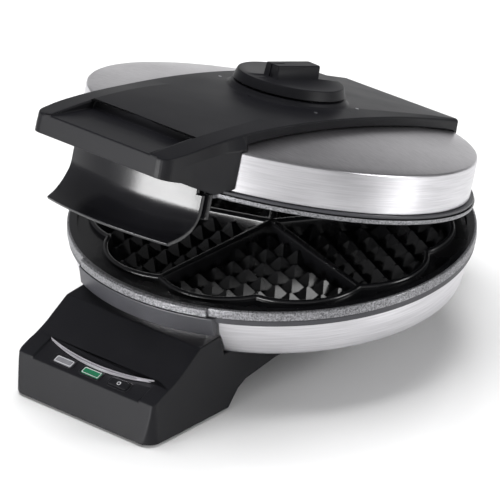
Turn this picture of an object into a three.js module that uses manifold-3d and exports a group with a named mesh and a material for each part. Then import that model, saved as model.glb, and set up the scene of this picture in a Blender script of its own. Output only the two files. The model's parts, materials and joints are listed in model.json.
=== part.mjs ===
// Heart-waffle maker with a hinged lid, modelled as it comes apart on a bench.
// Millimetres, +Z up. The front (handle side) faces -Y. The pieces are drawn around the axis of the
// round baking plates, and the whole object is then shifted so that its footprint is centred.
import * as THREE from 'three';
import { mergeVertices } from 'three/addons/utils/BufferGeometryUtils.js';
import Module from 'manifold-3d';

const wasm = await Module();
wasm.setup();

// ---------------------------------------------------------------- driving dimensions
const GAP = 0.4;                       // air between neighbouring pieces
const ROUND = 44;                      // facets of the large round pieces
const SMALL = 12;                      // facets of screws, pins and bores

const PLATE_R = 107;                   // rim of the cast baking plates
const RING_R = 106.4;                  // plastic ring between plate and shell
const BOSS_R = 109;                    // stepped-out front of plates and ring
const BOSS_HALF_W = 46;
const BODY_R = 95.6;                   // plate body inside the ring
const RING_BORE_R = 96;
const REAR_FLAT_Y = 95;                // plates, rings and shells end flat before the hinge
const PARTING_Z = 60.6;                // where the closed plates meet
const PLATE_GAP = 0.5;                 // air left between the closed plates

const CAVITY_DEPTH = 9;
const PLATE_FLOOR = 3.2;
const DECK_DEPTH = 2.4;
const DECK_R = 101.8;
const LOBE_CENTRE_R = 58.4;
const LOBE_R = 34.6;
const RIDGE_W = 3;
const RIB_W = 3;
const HEARTS = 5;
const HEART_HALF_ANGLE = Math.PI / HEARTS;
const PYRAMID_PITCH = 11.4;
const PYRAMID_BASE = 9.6;
const PYRAMID_H = 6.4;

const SHELL_WALL = 1;
const SHELL_BOTTOM_Z = 32.9;
const SHELL_TOP_Z = 51.7;
const SHELL_R = 104;
const LID_SHELL_R = 103.4;
const LID_SHELL_LOW_Z = 66;
const LID_EDGE_Z = 86.6;
const LID_DOME_Z = 95;

const BASE_FRONT_Y = -147.9;
const BASE_REAR_Y = 120;
const BASE_LOW_Z = 1.2;
const BASE_HALF_W = 48.2;
const BASE_DRAFT = 0.045;              // each side leans in by this much per mm of height
const ARM_TOP_Z = 32.5;
const WALL = 2.8;
const PANEL_EDGE_Y = -144;
const PANEL_EDGE_Z = 22.4;
const PANEL_TILT = THREE.MathUtils.degToRad(20);
const PANEL_HALF_W = 36.6;
const CHANNEL_HALF_W = 14;

const HINGE_Y = 107;
const HINGE_Z = 75;
const LID_OPEN = THREE.MathUtils.degToRad(16.7);
const PIN_R = 3;
const BORE_R = 3.4;
const EAR_R = 6.5;
const EYE_R = 6;
const POST_HALF_W = 13;
const EYE_X = [13.6, 22];
const EAR_X = [22.6, 30];

const BRIDGE_FRONT_Y = -145;
const BRIDGE_REAR_Y = 98.5;
const BRIDGE_WALL = 3;
const CREASE_DROP = 1.1;
const KNOB_LOW_Z = 103.4;
const KNOB_TOP_Z = 108.7;
const BAR_TOP_Z = 115.6;
const BAR_TURN = THREE.MathUtils.degToRad(-6.5);

const GLAND_OUT = 2;
const CENTRE_Y = (BASE_FRONT_Y + BASE_REAR_Y + GLAND_OUT) / 2;

// ---------------------------------------------------------------- materials
function finish(color, roughness, metalness = 0) {
  return new THREE.MeshStandardMaterial({ color, roughness, metalness });
}
const BLACK_PLASTIC = finish(0x29282a, 0.55);
const DARK_PLASTIC = finish(0x1c1b1d, 0.6);
const GREY_PLASTIC = finish(0x4a4a4e, 0.6);
const STEEL = finish(0xc9c8ca, 0.32, 1);
const ZINC_STEEL = finish(0xa9abad, 0.4, 1);
const CAST_PLATE = finish(0x2a2a2c, 0.3, 0.6);
const HEATER_STEEL = finish(0x6f6a62, 0.5, 1);
const SILVER = finish(0x8f8f95, 0.35, 0.8);
const RUBBER = finish(0x202020, 0.9);
const GREY_LENS = finish(0x9a9a9e, 0.2);
const GREEN_LENS = finish(0x0c6b45, 0.2);
const BOARD_GREEN = finish(0x2f5d3a, 0.6);
const CERAMIC = finish(0xd9d4c8, 0.8);

// ---------------------------------------------------------------- solids
function solidFrom(vertices, triangles) {
  const mesh = new wasm.Mesh({
    numProp: 3,
    vertProperties: new Float32Array(vertices),
    triVerts: new Uint32Array(triangles),
  });
  return new wasm.Manifold(mesh);
}

// A closed three.js geometry as a solid: shared corners are merged, faces of no area are dropped,
// and a shape drawn inside out is turned round.
function solid(geometry) {
  const bare = geometry.clone();
  bare.deleteAttribute('normal');
  bare.deleteAttribute('uv');
  const merged = mergeVertices(bare, 1e-4);
  const corners = merged.index.array;
  const place = merged.attributes.position.array;
  const triangles = [];
  for (let i = 0; i < corners.length; i += 3) {
    const [a, b, c] = [corners[i], corners[i + 1], corners[i + 2]];
    if (a !== b && b !== c && c !== a) triangles.push(a, b, c);
  }
  const body = solidFrom(place, triangles);
  return body.volume() > 0 ? body : solidFrom(place, triangles.reverse());
}

function geometryOf(body) {
  const mesh = body.getMesh();
  const geometry = new THREE.BufferGeometry();
  geometry.setAttribute('position', new THREE.BufferAttribute(mesh.vertProperties, 3));
  geometry.setIndex(new THREE.BufferAttribute(mesh.triVerts, 1));
  geometry.computeVertexNormals();
  return geometry;
}

const points = (pairs) => pairs.map(([x, y]) => new THREE.Vector2(x, y));
const polygon = (pairs) => new THREE.Shape(points(pairs));
const joined = (bodies) => bodies.reduce((sum, body) => sum.add(body));
const without = (body, cuts) => cuts.reduce((rest, cut) => rest.subtract(cut), body);

function extruded(shape, depth, curveSegments = 12) {
  return new THREE.ExtrudeGeometry(shape, { depth, bevelEnabled: false, curveSegments });
}

// An outline in the XY plane, raised from lowZ to highZ.
function upright(shape, lowZ, highZ, curveSegments) {
  return solid(extruded(shape, highZ - lowZ, curveSegments).translate(0, 0, lowZ));
}

// An outline in the YZ plane, drawn out from lowX to highX.
function across(shape, lowX, highX, curveSegments) {
  const turn = new THREE.Matrix4().makeBasis(
    new THREE.Vector3(0, 1, 0), new THREE.Vector3(0, 0, 1), new THREE.Vector3(1, 0, 0));
  return solid(extruded(shape, highX - lowX, curveSegments).applyMatrix4(turn).translate(lowX, 0, 0));
}

// An outline in the XZ plane, drawn out from lowY to highY.
function lengthways(shape, lowY, highY) {
  return solid(extruded(shape, highY - lowY).rotateX(Math.PI / 2).translate(0, highY, 0));
}

// A closed (radius, height) profile turned about a vertical axis.
function turned(profile, segments = ROUND, x = 0, y = 0) {
  const closed = [...profile, profile[0]];
  return solid(new THREE.LatheGeometry(points(closed), segments).rotateX(Math.PI / 2).translate(x, y, 0));
}

function block(lowX, highX, lowY, highY, lowZ, highZ) {
  const box = new THREE.BoxGeometry(highX - lowX, highY - lowY, highZ - lowZ);
  return solid(box.translate((lowX + highX) / 2, (lowY + highY) / 2, (lowZ + highZ) / 2));
}

function post(radius, lowZ, highZ, x = 0, y = 0, segments = SMALL) {
  const rod = new THREE.CylinderGeometry(radius, radius, highZ - lowZ, segments).rotateX(Math.PI / 2);
  return solid(rod.translate(x, y, (lowZ + highZ) / 2));
}

function rodAcross(radius, lowX, highX, y, z, segments = SMALL) {
  const rod = new THREE.CylinderGeometry(radius, radius, highX - lowX, segments).rotateZ(Math.PI / 2);
  return solid(rod.translate((lowX + highX) / 2, y, z));
}

function rodLengthways(radius, lowY, highY, x, z, segments = SMALL) {
  const rod = new THREE.CylinderGeometry(radius, radius, highY - lowY, segments);
  return solid(rod.translate(x, (lowY + highY) / 2, z));
}

function roundedRectangle(lowX, highX, lowY, highY, r) {
  const shape = new THREE.Shape();
  shape.absarc(highX - r, highY - r, r, 0, Math.PI / 2);
  shape.absarc(lowX + r, highY - r, r, Math.PI / 2, Math.PI);
  shape.absarc(lowX + r, lowY + r, r, Math.PI, 1.5 * Math.PI);
  shape.absarc(highX - r, lowY + r, r, 1.5 * Math.PI, 2 * Math.PI);
  return shape;
}

function circle(radius) {
  const shape = new THREE.Shape();
  for (let i = 0; i < 6; i += 1) shape.absarc(0, 0, radius, i * Math.PI / 3, (i + 1) * Math.PI / 3);
  return shape;
}

// A screw with its head at headZ; its shank runs up (length > 0) or down (length < 0).
function screw(x, y, headZ, length, shankR = 1.5, headR = 3) {
  const way = Math.sign(length);
  const headH = 1.8 * way;
  return turned([[0, headZ], [headR, headZ], [headR, headZ + headH], [shankR, headZ + headH],
    [shankR, headZ + length], [0, headZ + length]], SMALL, x, y);
}

function add(parent, name, body, material) {
  const mesh = new THREE.Mesh(geometryOf(body), material);
  mesh.name = name;
  parent.add(mesh);
}

const waffleMaker = new THREE.Group();
waffleMaker.position.y = -CENTRE_Y;

const BEHIND_FLAT = (y) => block(-200, 200, y, 200, -10, 200);

// ---------------------------------------------------------------- base housing
// The side profile of the one-piece moulding: control box in front, arm under the pan, rear block.
const FRONT_BLOCK_END_Y = -83;
const REAR_BLOCK_Y = 38;
const ARM_LOW_Z = 16;
const KINK = [-107.5, 42.2];
const BOSS_SEAT = [-90.2, 44.4];
const REAR_TOP_Z = 56;

function baseProfile() {
  return polygon([[BASE_FRONT_Y, BASE_LOW_Z], [FRONT_BLOCK_END_Y, BASE_LOW_Z], [-80, 12.3],
    [-76, 13.2], [-50, ARM_LOW_Z], [REAR_BLOCK_Y, ARM_LOW_Z], [REAR_BLOCK_Y + 6, BASE_LOW_Z],
    [BASE_REAR_Y, BASE_LOW_Z], [BASE_REAR_Y, REAR_TOP_Z], [97, REAR_TOP_Z], [97, ARM_TOP_Z],
    [BOSS_SEAT[0], ARM_TOP_Z], BOSS_SEAT, KINK, [PANEL_EDGE_Y, 22.5]]);
}

// Sides that lean in towards the top: each point moves towards the middle with its height.
function drafted(shape, halfW) {
  const turn = new THREE.Matrix4().makeBasis(
    new THREE.Vector3(0, 1, 0), new THREE.Vector3(0, 0, 1), new THREE.Vector3(1, 0, 0));
  const geometry = extruded(shape, 2 * halfW).applyMatrix4(turn).translate(-halfW, 0, 0);
  const place = geometry.attributes.position;
  for (let i = 0; i < place.count; i += 1) {
    const x = place.getX(i);
    place.setX(i, x - Math.sign(x) * BASE_DRAFT * place.getZ(i));
  }
  return solid(geometry);
}

const basePlan = new THREE.Shape();
const BASE_CORNER_R = 8;
const REAR_HALF_W = 36;
basePlan.absarc(BASE_HALF_W - BASE_CORNER_R, BASE_FRONT_Y + BASE_CORNER_R, BASE_CORNER_R, -Math.PI / 2, 0);
basePlan.lineTo(BASE_HALF_W, 50);
basePlan.absarc(REAR_HALF_W - BASE_CORNER_R, BASE_REAR_Y - BASE_CORNER_R, BASE_CORNER_R, 0, Math.PI / 2);
basePlan.absarc(BASE_CORNER_R - REAR_HALF_W, BASE_REAR_Y - BASE_CORNER_R, BASE_CORNER_R, Math.PI / 2, Math.PI);
basePlan.lineTo(-BASE_HALF_W, 50);
basePlan.absarc(BASE_CORNER_R - BASE_HALF_W, BASE_FRONT_Y + BASE_CORNER_R, BASE_CORNER_R, Math.PI, 1.5 * Math.PI);

// The lower shell's outer profile, offset outwards: the housing is cut to it, with air between.
function shellOutline(offset) {
  const lowZ = SHELL_BOTTOM_Z - offset;
  return [[0, lowZ], [97.5 + offset, lowZ], [100.4 + offset, 34.4 - offset], [101.9 + offset, 38.5],
    [103.4 + offset, 45], [SHELL_R + offset, SHELL_TOP_Z], [0, SHELL_TOP_Z]];
}

const FRONT_CAVITY = { halfW: 43, low: -144.8, high: -86.5 };
const REAR_CAVITY = { halfW: 32, low: 46, high: BASE_REAR_Y - WALL };
const frontCavity = across(polygon([[FRONT_CAVITY.low, 0], [FRONT_CAVITY.high, 0],
  [FRONT_CAVITY.high, ARM_TOP_Z - WALL], [BOSS_SEAT[0] - WALL, ARM_TOP_Z - WALL],
  [BOSS_SEAT[0] - WALL, BOSS_SEAT[1] - WALL], [KINK[0] + 1, KINK[1] - WALL - 0.6],
  [-130, 24.5], [-141.8, 20]]), -FRONT_CAVITY.halfW, FRONT_CAVITY.halfW)
  .subtract(turned(shellOutline(WALL)));
const rearCavity = block(-REAR_CAVITY.halfW, REAR_CAVITY.halfW, REAR_CAVITY.low, REAR_CAVITY.high,
  0, ARM_TOP_Z - WALL);
const channel = block(-CHANNEL_HALF_W, CHANNEL_HALF_W, FRONT_CAVITY.high - 1, REAR_CAVITY.low + 1,
  BASE_LOW_Z + 9, ARM_TOP_Z - WALL - 3);

// Hinge posts: one broad post in the middle and an ear on each side, with round tops on the axis.
function hingePost(lowX, highX) {
  const shape = new THREE.Shape();
  shape.moveTo(97, 30);
  shape.lineTo(BASE_REAR_Y, 30);
  shape.lineTo(BASE_REAR_Y, 58);
  shape.absarc(HINGE_Y, HINGE_Z, EAR_R, 0, Math.PI);
  shape.lineTo(97, 68);
  return across(shape, lowX, highX, 8);
}

const COVER_SCREWS = [[-36, -92], [36, -92], [-26, 54], [26, 54]];
const PAN_SCREW_X = 28;
const FOOT_NECK_R = 5;
const FEET = { front_left: [-36, -136], front_right: [36, -136], rear_left: [-24, 106], rear_right: [24, 106] };

// The control panel lies in its own tilted frame: x across, y up the slope, z out of the panel.
const panel = new THREE.Group();
panel.position.set(0, PANEL_EDGE_Y, PANEL_EDGE_Z);
panel.rotation.x = PANEL_TILT;
panel.updateMatrix();

function onPanel(body) {
  return solid(geometryOf(body).applyMatrix4(panel.matrix));
}

const ARC_END_Y = 15.4;
const ARC_MID_Y = 10.6;
const LAMP = { halfW: 6, halfH: 2.3, y: 5.4 };
const LAMP_X = 19;

// Radius and centre height of the arc through both ends and the middle of the trim strip.
function arcThrough(endX, endY, midY) {
  const rise = endY - midY;
  const r = (endX * endX + rise * rise) / (2 * rise);
  return { r, centreY: midY + r, half: Math.asin(endX / r) };
}

function panelRecess() {
  const arc = arcThrough(PANEL_HALF_W, ARC_END_Y, ARC_MID_Y);
  const shape = new THREE.Shape();
  shape.absarc(0, arc.centreY, arc.r, -Math.PI / 2 - arc.half, -Math.PI / 2 + arc.half);
  shape.lineTo(PANEL_HALF_W, -8);
  shape.lineTo(-PANEL_HALF_W, -8);
  return onPanel(upright(shape, 0, 14, 10));
}

function lampHole(x) {
  return onPanel(block(x - LAMP.halfW - GAP, x + LAMP.halfW + GAP, LAMP.y - LAMP.halfH - GAP,
    LAMP.y + LAMP.halfH + GAP, -6, 3));
}

const BOARD = { halfW: 34, low: 1, high: 30, topZ: -11 };
const BOARD_POST = { x: 30, y: 22 };
const boardPosts = [-1, 1].map((side) => onPanel(
  post(3, BOARD.topZ + GAP, -0.5, side * BOARD_POST.x, BOARD_POST.y)));
const coverPosts = COVER_SCREWS.map(([x, y]) => post(4, 4, ARM_TOP_Z - 2, x, y));
const panScrewHoles = [-1, 1].flatMap((side) => [
  post(2.6, 10, 40, side * PAN_SCREW_X, 0), post(4.6, 10, 20.5, side * PAN_SCREW_X, 0)]);
const leadHole = post(4, 20, 60, 0, 60);
const pinBore = rodAcross(BORE_R, -EAR_X[1] - 1, EAR_X[1] + 1, HINGE_Y, HINGE_Z);
const glandHole = rodLengthways(8.4, BASE_REAR_Y - 10, BASE_REAR_Y + 5, 0, 18);

let housing = drafted(baseProfile(), BASE_HALF_W).intersect(upright(basePlan, 0, 70, 6));
housing = joined([housing, hingePost(-POST_HALF_W, POST_HALF_W), hingePost(...EAR_X),
  hingePost(-EAR_X[1], -EAR_X[0])]);
housing = without(housing, [turned(shellOutline(GAP)), frontCavity, rearCavity, channel]);
housing = joined([housing, ...boardPosts, ...coverPosts]);
housing = without(housing, [panelRecess(), ...[-LAMP_X, 0, LAMP_X].map(lampHole), ...panScrewHoles,
  leadHole, pinBore, glandHole, ...COVER_SCREWS.map(([x, y]) => post(1.9, 0, 16, x, y)),
  ...[-1, 1].map((side) => onPanel(post(1.5, BOARD.topZ - 1, -4, side * BOARD_POST.x, BOARD_POST.y)))]);
add(waffleMaker, 'base_housing', housing, BLACK_PLASTIC);

// ---------------------------------------------------------------- covers, feet and their screws
const COVER_TOP_Z = BASE_LOW_Z + 2;
const feetHoles = Object.values(FEET).map(([x, y]) => post(FOOT_NECK_R + GAP, 0, 6, x, y));
const coverScrewHoles = COVER_SCREWS.map(([x, y]) => post(1.9, 0, 6, x, y));
const coverCuts = [...feetHoles, ...coverScrewHoles];
const frontCover = upright(roundedRectangle(GAP - FRONT_CAVITY.halfW, FRONT_CAVITY.halfW - GAP,
  FRONT_CAVITY.low + 1, FRONT_CAVITY.high - GAP, 5), BASE_LOW_Z, COVER_TOP_Z, 4);
const rearCover = upright(roundedRectangle(GAP - REAR_CAVITY.halfW, REAR_CAVITY.halfW - GAP,
  REAR_CAVITY.low + GAP, REAR_CAVITY.high - GAP, 2), BASE_LOW_Z, COVER_TOP_Z, 4);
add(waffleMaker, 'front_base_cover', without(frontCover, coverCuts), DARK_PLASTIC);
add(waffleMaker, 'rear_base_cover', without(rearCover, coverCuts), DARK_PLASTIC);
add(waffleMaker, 'channel_cover', block(GAP - CHANNEL_HALF_W, CHANNEL_HALF_W - GAP, -48, REAR_BLOCK_Y - 2,
  ARM_LOW_Z, ARM_LOW_Z + 1.6), DARK_PLASTIC);
for (const [name, [x, y]] of Object.entries(FEET)) {
  const sole = BASE_LOW_Z - GAP;
  const flange = COVER_TOP_Z + GAP;
  add(waffleMaker, `foot_${name}`, turned([[0, 0], [6.5, 0], [7, sole], [FOOT_NECK_R, sole],
    [FOOT_NECK_R, flange], [6.6, flange], [6, flange + 1.4], [0, flange + 1.4]], SMALL, x, y), RUBBER);
}
COVER_SCREWS.forEach(([x, y], i) => {
  add(waffleMaker, `cover_screw_${i + 1}`, screw(x, y, -0.6 + BASE_LOW_Z, 12, 1.5, 1.5), ZINC_STEEL);
});

// ---------------------------------------------------------------- control panel
// All of it sits in the panel's tilted frame.
function trimStrip() {
  const wall = arcThrough(PANEL_HALF_W, ARC_END_Y, ARC_MID_Y);
  const upper = { r: wall.r + GAP, centreY: wall.centreY, half: Math.asin((PANEL_HALF_W - 1) / (wall.r + GAP)) };
  const endY = upper.centreY - upper.r * Math.cos(upper.half);
  const lower = arcThrough(PANEL_HALF_W - 1.3, endY - 0.4, ARC_MID_Y - 2.2);
  const shape = new THREE.Shape();
  shape.absarc(0, upper.centreY, upper.r, -Math.PI / 2 - upper.half, -Math.PI / 2 + upper.half);
  shape.absarc(0, lower.centreY, lower.r, -Math.PI / 2 + lower.half, -Math.PI / 2 - lower.half, true);
  return upright(shape, GAP, 2.2, 10);
}

function lens(x) {
  return block(x - LAMP.halfW, x + LAMP.halfW, LAMP.y - LAMP.halfH, LAMP.y + LAMP.halfH, -4.5, 0.4);
}

add(panel, 'panel_trim', trimStrip(), SILVER);
add(panel, 'heating_lamp_window', lens(-LAMP_X), GREY_LENS);
add(panel, 'ready_lamp_window', lens(0), GREEN_LENS);
add(panel, 'sound_button', block(LAMP_X - LAMP.halfW, LAMP_X + LAMP.halfW, LAMP.y - LAMP.halfH,
  LAMP.y + LAMP.halfH, -5, 1), DARK_PLASTIC);
const board = without(block(-BOARD.halfW, BOARD.halfW, BOARD.low, BOARD.high, BOARD.topZ - 1.6, BOARD.topZ),
  [-1, 1].map((side) => post(1.8, BOARD.topZ - 4, BOARD.topZ + 4, side * BOARD_POST.x, BOARD_POST.y)));
add(panel, 'circuit_board', board, BOARD_GREEN);
add(panel, 'heating_led', post(1.5, BOARD.topZ + GAP, -5, -LAMP_X, LAMP.y, 12), GREY_LENS);
add(panel, 'ready_led', post(1.5, BOARD.topZ + GAP, -5, 0, LAMP.y, 12), GREEN_LENS);
add(panel, 'button_switch', block(LAMP_X - 3, LAMP_X + 3, LAMP.y - 3, LAMP.y + 3, BOARD.topZ + GAP, -6.6),
  DARK_PLASTIC);
add(panel, 'buzzer', post(6, BOARD.topZ + GAP, -4.4, -10, 19, SMALL), DARK_PLASTIC);
['left', 'right'].forEach((side, i) => {
  const x = (2 * i - 1) * BOARD_POST.x;
  add(panel, `board_screw_${side}`, screw(x, BOARD_POST.y, BOARD.topZ - 3.8, 8, 1.2, 2.4), ZINC_STEEL);
});
waffleMaker.add(panel);

// ---------------------------------------------------------------- supply
const gland = rodLengthways(8, BASE_REAR_Y - 6, BASE_REAR_Y + GLAND_OUT, 0, 18, 20);
add(waffleMaker, 'cord_gland', gland.subtract(rodLengthways(3.8, 100, 130, 0, 18)), DARK_PLASTIC);
add(waffleMaker, 'terminal_block', block(-11, 11, 74, 86, 18, ARM_TOP_Z - WALL - GAP), CERAMIC);

// ---------------------------------------------------------------- baking plates
// Five hearts, points inwards, one lobed cavity edge, and a raised ridge around it.
function heartShape() {
  const cx = LOBE_CENTRE_R * Math.cos(HEART_HALF_ANGLE / 2);
  const cy = LOBE_CENTRE_R * Math.sin(HEART_HALF_ANGLE / 2);
  const ribSide = cy - RIB_W / 2;
  const cleft = Math.atan2(-cy, Math.sqrt(LOBE_R ** 2 - cy ** 2));
  const shoulder = HEART_HALF_ANGLE + Math.atan2(ribSide, Math.sqrt(LOBE_R ** 2 - ribSide ** 2));
  const shape = new THREE.Shape();
  shape.absarc(cx, -cy, LOBE_R, -shoulder, -cleft);
  shape.absarc(cx, cy, LOBE_R, cleft, shoulder);
  shape.lineTo(RIB_W / 2 / Math.sin(HEART_HALF_ANGLE) + 1.5, 0);
  return shape;
}

function lobedShape(offset) {
  const r = LOBE_R + offset;
  const cy = LOBE_CENTRE_R * Math.sin(HEART_HALF_ANGLE / 2);
  const half = HEART_HALF_ANGLE / 2 + Math.atan2(cy, Math.sqrt(r ** 2 - cy ** 2));
  const shape = new THREE.Shape();
  for (let k = 0; k < 2 * HEARTS; k += 1) {
    const turn = Math.PI / 2 + HEART_HALF_ANGLE * (k + 0.5);
    shape.absarc(LOBE_CENTRE_R * Math.cos(turn), LOBE_CENTRE_R * Math.sin(turn), r, turn - half, turn + half);
  }
  return shape;
}

function insideHeart(u, v) {
  const cx = LOBE_CENTRE_R * Math.cos(HEART_HALF_ANGLE / 2);
  const cy = LOBE_CENTRE_R * Math.sin(HEART_HALF_ANGLE / 2);
  const side = u * Math.sin(HEART_HALF_ANGLE) - Math.abs(v) * Math.cos(HEART_HALF_ANGLE);
  const inLobe = Math.hypot(u - cx, Math.abs(v) - cy) < LOBE_R - 1;
  return side > RIB_W && (u < cx || inLobe);
}

// One heart's hollow between two heights, with the lattice of pyramids left standing in it.
function heartHollow(floorZ, mouthZ) {
  const up = Math.sign(mouthZ - floorZ);
  const lowZ = Math.min(floorZ, mouthZ);
  const highZ = Math.max(floorZ, mouthZ);
  let hollow = upright(heartShape(), lowZ, highZ, 5);
  const step = PYRAMID_PITCH * Math.SQRT1_2;
  for (let row = 0; row < 11; row += 1) {
    for (let place = 0; place <= row; place += 1) {
      const u = 12 + step * row;
      const v = step * (2 * place - row);
      if (insideHeart(u, v)) {
        const cone = new THREE.ConeGeometry(PYRAMID_BASE * Math.SQRT1_2, PYRAMID_H + 1, 4);
        cone.rotateX(up * Math.PI / 2).translate(u, v, floorZ + up * (PYRAMID_H - 1) / 2);
        hollow = hollow.subtract(solid(cone));
      }
    }
  }
  return geometryOf(hollow);
}

function withHearts(plate, floorZ, mouthZ) {
  const hollow = heartHollow(floorZ, mouthZ);
  let result = plate;
  for (let k = 0; k < HEARTS; k += 1) {
    const turn = Math.PI / 2 + 2 * HEART_HALF_ANGLE * k;
    result = result.subtract(solid(hollow.clone().rotateZ(turn)));
  }
  const deck = circle(DECK_R);
  deck.holes.push(lobedShape(RIDGE_W));
  const outside = Math.sign(mouthZ - floorZ) * DECK_DEPTH;
  const deckLow = Math.min(mouthZ, mouthZ - outside);
  return result.subtract(upright(deck, deckLow, deckLow + DECK_DEPTH, 4));
}

const onlyFront = (halfW, lowZ, highZ) => block(-halfW, halfW, -130, -60, lowZ, highZ);

const RIM_LOW_Z = 55.6;
const plateFloorZ = PARTING_Z - CAVITY_DEPTH;
const plateUnderZ = plateFloorZ - PLATE_FLOOR;
const mouth = PARTING_Z + 0.001;
const BODY_FLAT_Y = REAR_FLAT_Y - 4;
const lowerBody = turned([[0, plateUnderZ], [BODY_R - 2, plateUnderZ], [BODY_R, plateUnderZ + 2],
  [BODY_R, PARTING_Z - 1], [0, PARTING_Z - 1]]).subtract(BEHIND_FLAT(BODY_FLAT_Y - GAP));
const lowerRim = turned([[0, RIM_LOW_Z], [PLATE_R, RIM_LOW_Z], [PLATE_R, PARTING_Z - 0.7],
  [PLATE_R - 0.7, PARTING_Z], [0, PARTING_Z]]);
const lowerPlateBoss = turned([[90, RIM_LOW_Z], [BOSS_R, RIM_LOW_Z], [BOSS_R, PARTING_Z],
  [90, PARTING_Z]]).intersect(onlyFront(BOSS_HALF_W - 1, 0, 100));
const plateBosses = [-1, 1].map((side) => post(5, 40, plateUnderZ + 1, side * PAN_SCREW_X, 0));
let lowerPlate = joined([lowerBody, lowerRim, lowerPlateBoss]).subtract(BEHIND_FLAT(REAR_FLAT_Y));
lowerPlate = joined([withHearts(lowerPlate, plateFloorZ, mouth), ...plateBosses]);
lowerPlate = without(lowerPlate, [-1, 1].map((side) => post(2.3, 30, 48.6, side * PAN_SCREW_X, 0)));
add(waffleMaker, 'lower_plate', lowerPlate, CAST_PLATE);

const RING_LOW_Z = 52.1;
const ringTopZ = RIM_LOW_Z - GAP;
const ringLip = turned([[RING_BORE_R, 49], [102.5, 49], [102.5, 53], [RING_BORE_R, 53]])
  .subtract(BEHIND_FLAT(REAR_FLAT_Y - 2));
const ringBand = turned([[0, RING_LOW_Z], [RING_R, RING_LOW_Z], [RING_R, ringTopZ], [0, ringTopZ]])
  .subtract(BEHIND_FLAT(REAR_FLAT_Y));
const RING_BOSS_LOW_Z = 45;
const ringBoss = turned([[104.6, RING_BOSS_LOW_Z], [107.6, RING_BOSS_LOW_Z], [BOSS_R, ringTopZ],
  [104.6, ringTopZ]]).intersect(onlyFront(BOSS_HALF_W, 0, 100));
const ringBore = turned([[0, 40], [RING_BORE_R, 40], [RING_BORE_R, 60], [0, 60]])
  .subtract(BEHIND_FLAT(BODY_FLAT_Y));
add(waffleMaker, 'lower_ring', joined([ringLip, ringBand, ringBoss]).subtract(ringBore), GREY_PLASTIC);

// ---------------------------------------------------------------- lower shell and heater
function trimmedPan(outer, inner) {
  const body = turned(outer).subtract(BEHIND_FLAT(REAR_FLAT_Y));
  return body.subtract(turned(inner).subtract(BEHIND_FLAT(REAR_FLAT_Y - SHELL_WALL)));
}

let lowerShell = trimmedPan(shellOutline(0),
  [[0, SHELL_BOTTOM_Z + SHELL_WALL], [97, SHELL_BOTTOM_Z + SHELL_WALL], [99.5, 35.2], [100.9, 38.8],
    [102.4, 45], [103, SHELL_TOP_Z + 1], [0, SHELL_TOP_Z + 1]]);
lowerShell = without(lowerShell, [leadHole, ...[-1, 1].map((side) => post(2.6, 30, 36, side * PAN_SCREW_X, 0))]);
add(waffleMaker, 'lower_shell', lowerShell, STEEL);

// A sheathed heating element: most of a circle, its ends turned in and away from the plate.
const HEATER_R = 62;
const HEATER_TUBE_R = 3.2;
function heater(z, awayZ) {
  const path = [];
  const open = 0.34;
  path.push(new THREE.Vector3(10, 40, awayZ));
  path.push(new THREE.Vector3(12, 48, (z + awayZ) / 2));
  for (let i = 0; i <= 20; i += 1) {
    const turn = Math.PI / 2 - open - (i / 20) * (2 * Math.PI - 2 * open);
    path.push(new THREE.Vector3(HEATER_R * Math.cos(turn), HEATER_R * Math.sin(turn), z));
  }
  path.push(new THREE.Vector3(-12, 48, (z + awayZ) / 2));
  path.push(new THREE.Vector3(-10, 40, awayZ));
  const route = new THREE.CatmullRomCurve3(path, false, 'centripetal');
  const section = new THREE.Shape(points([0, 1, 2, 3, 4, 5, 6, 7].map((i) => [
    HEATER_TUBE_R * Math.cos(i * Math.PI / 4), HEATER_TUBE_R * Math.sin(i * Math.PI / 4)])));
  return solid(new THREE.ExtrudeGeometry(section, { steps: 40, extrudePath: route }));
}

const heaterZ = plateUnderZ - HEATER_TUBE_R - GAP;
add(waffleMaker, 'lower_heater', heater(heaterZ, heaterZ - 0.5), HEATER_STEEL);
const reflectorHoles = [leadHole, ...[-1, 1].map((side) => post(5.6, 30, 50, side * PAN_SCREW_X, 0))];
const lowerReflector = turned([[0, 37], [90, 37], [93, 40], [92, 40.4], [89.6, 38], [0, 38]], 40)
  .subtract(BEHIND_FLAT(REAR_FLAT_Y - 3));
add(waffleMaker, 'lower_reflector', without(lowerReflector, reflectorHoles), ZINC_STEEL);
add(waffleMaker, 'supply_lead', post(2.4, ARM_TOP_Z - 2, 41, 0, 60, 12), CERAMIC);
['left', 'right'].forEach((side, i) => {
  const x = (2 * i - 1) * PAN_SCREW_X;
  add(waffleMaker, `pan_screw_${side}`, screw(x, 0, 18, 29, 1.9, 3.8), ZINC_STEEL);
});

// ---------------------------------------------------------------- hinge pins
add(waffleMaker, 'hinge_pin_left', rodAcross(PIN_R, -EAR_X[1], -4, HINGE_Y, HINGE_Z), ZINC_STEEL);
add(waffleMaker, 'hinge_pin_right', rodAcross(PIN_R, 4, EAR_X[1], HINGE_Y, HINGE_Z), ZINC_STEEL);

// ================================================================ lid
// The lid is drawn closed. The hinge group turns it up about the hinge axis.
const lid = new THREE.Group();
lid.position.set(0, -HINGE_Y, -HINGE_Z);
const lidHinge = new THREE.Group();
lidHinge.position.set(0, HINGE_Y, HINGE_Z);
lidHinge.rotation.x = -LID_OPEN;
lidHinge.add(lid);
waffleMaker.add(lidHinge);

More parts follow.
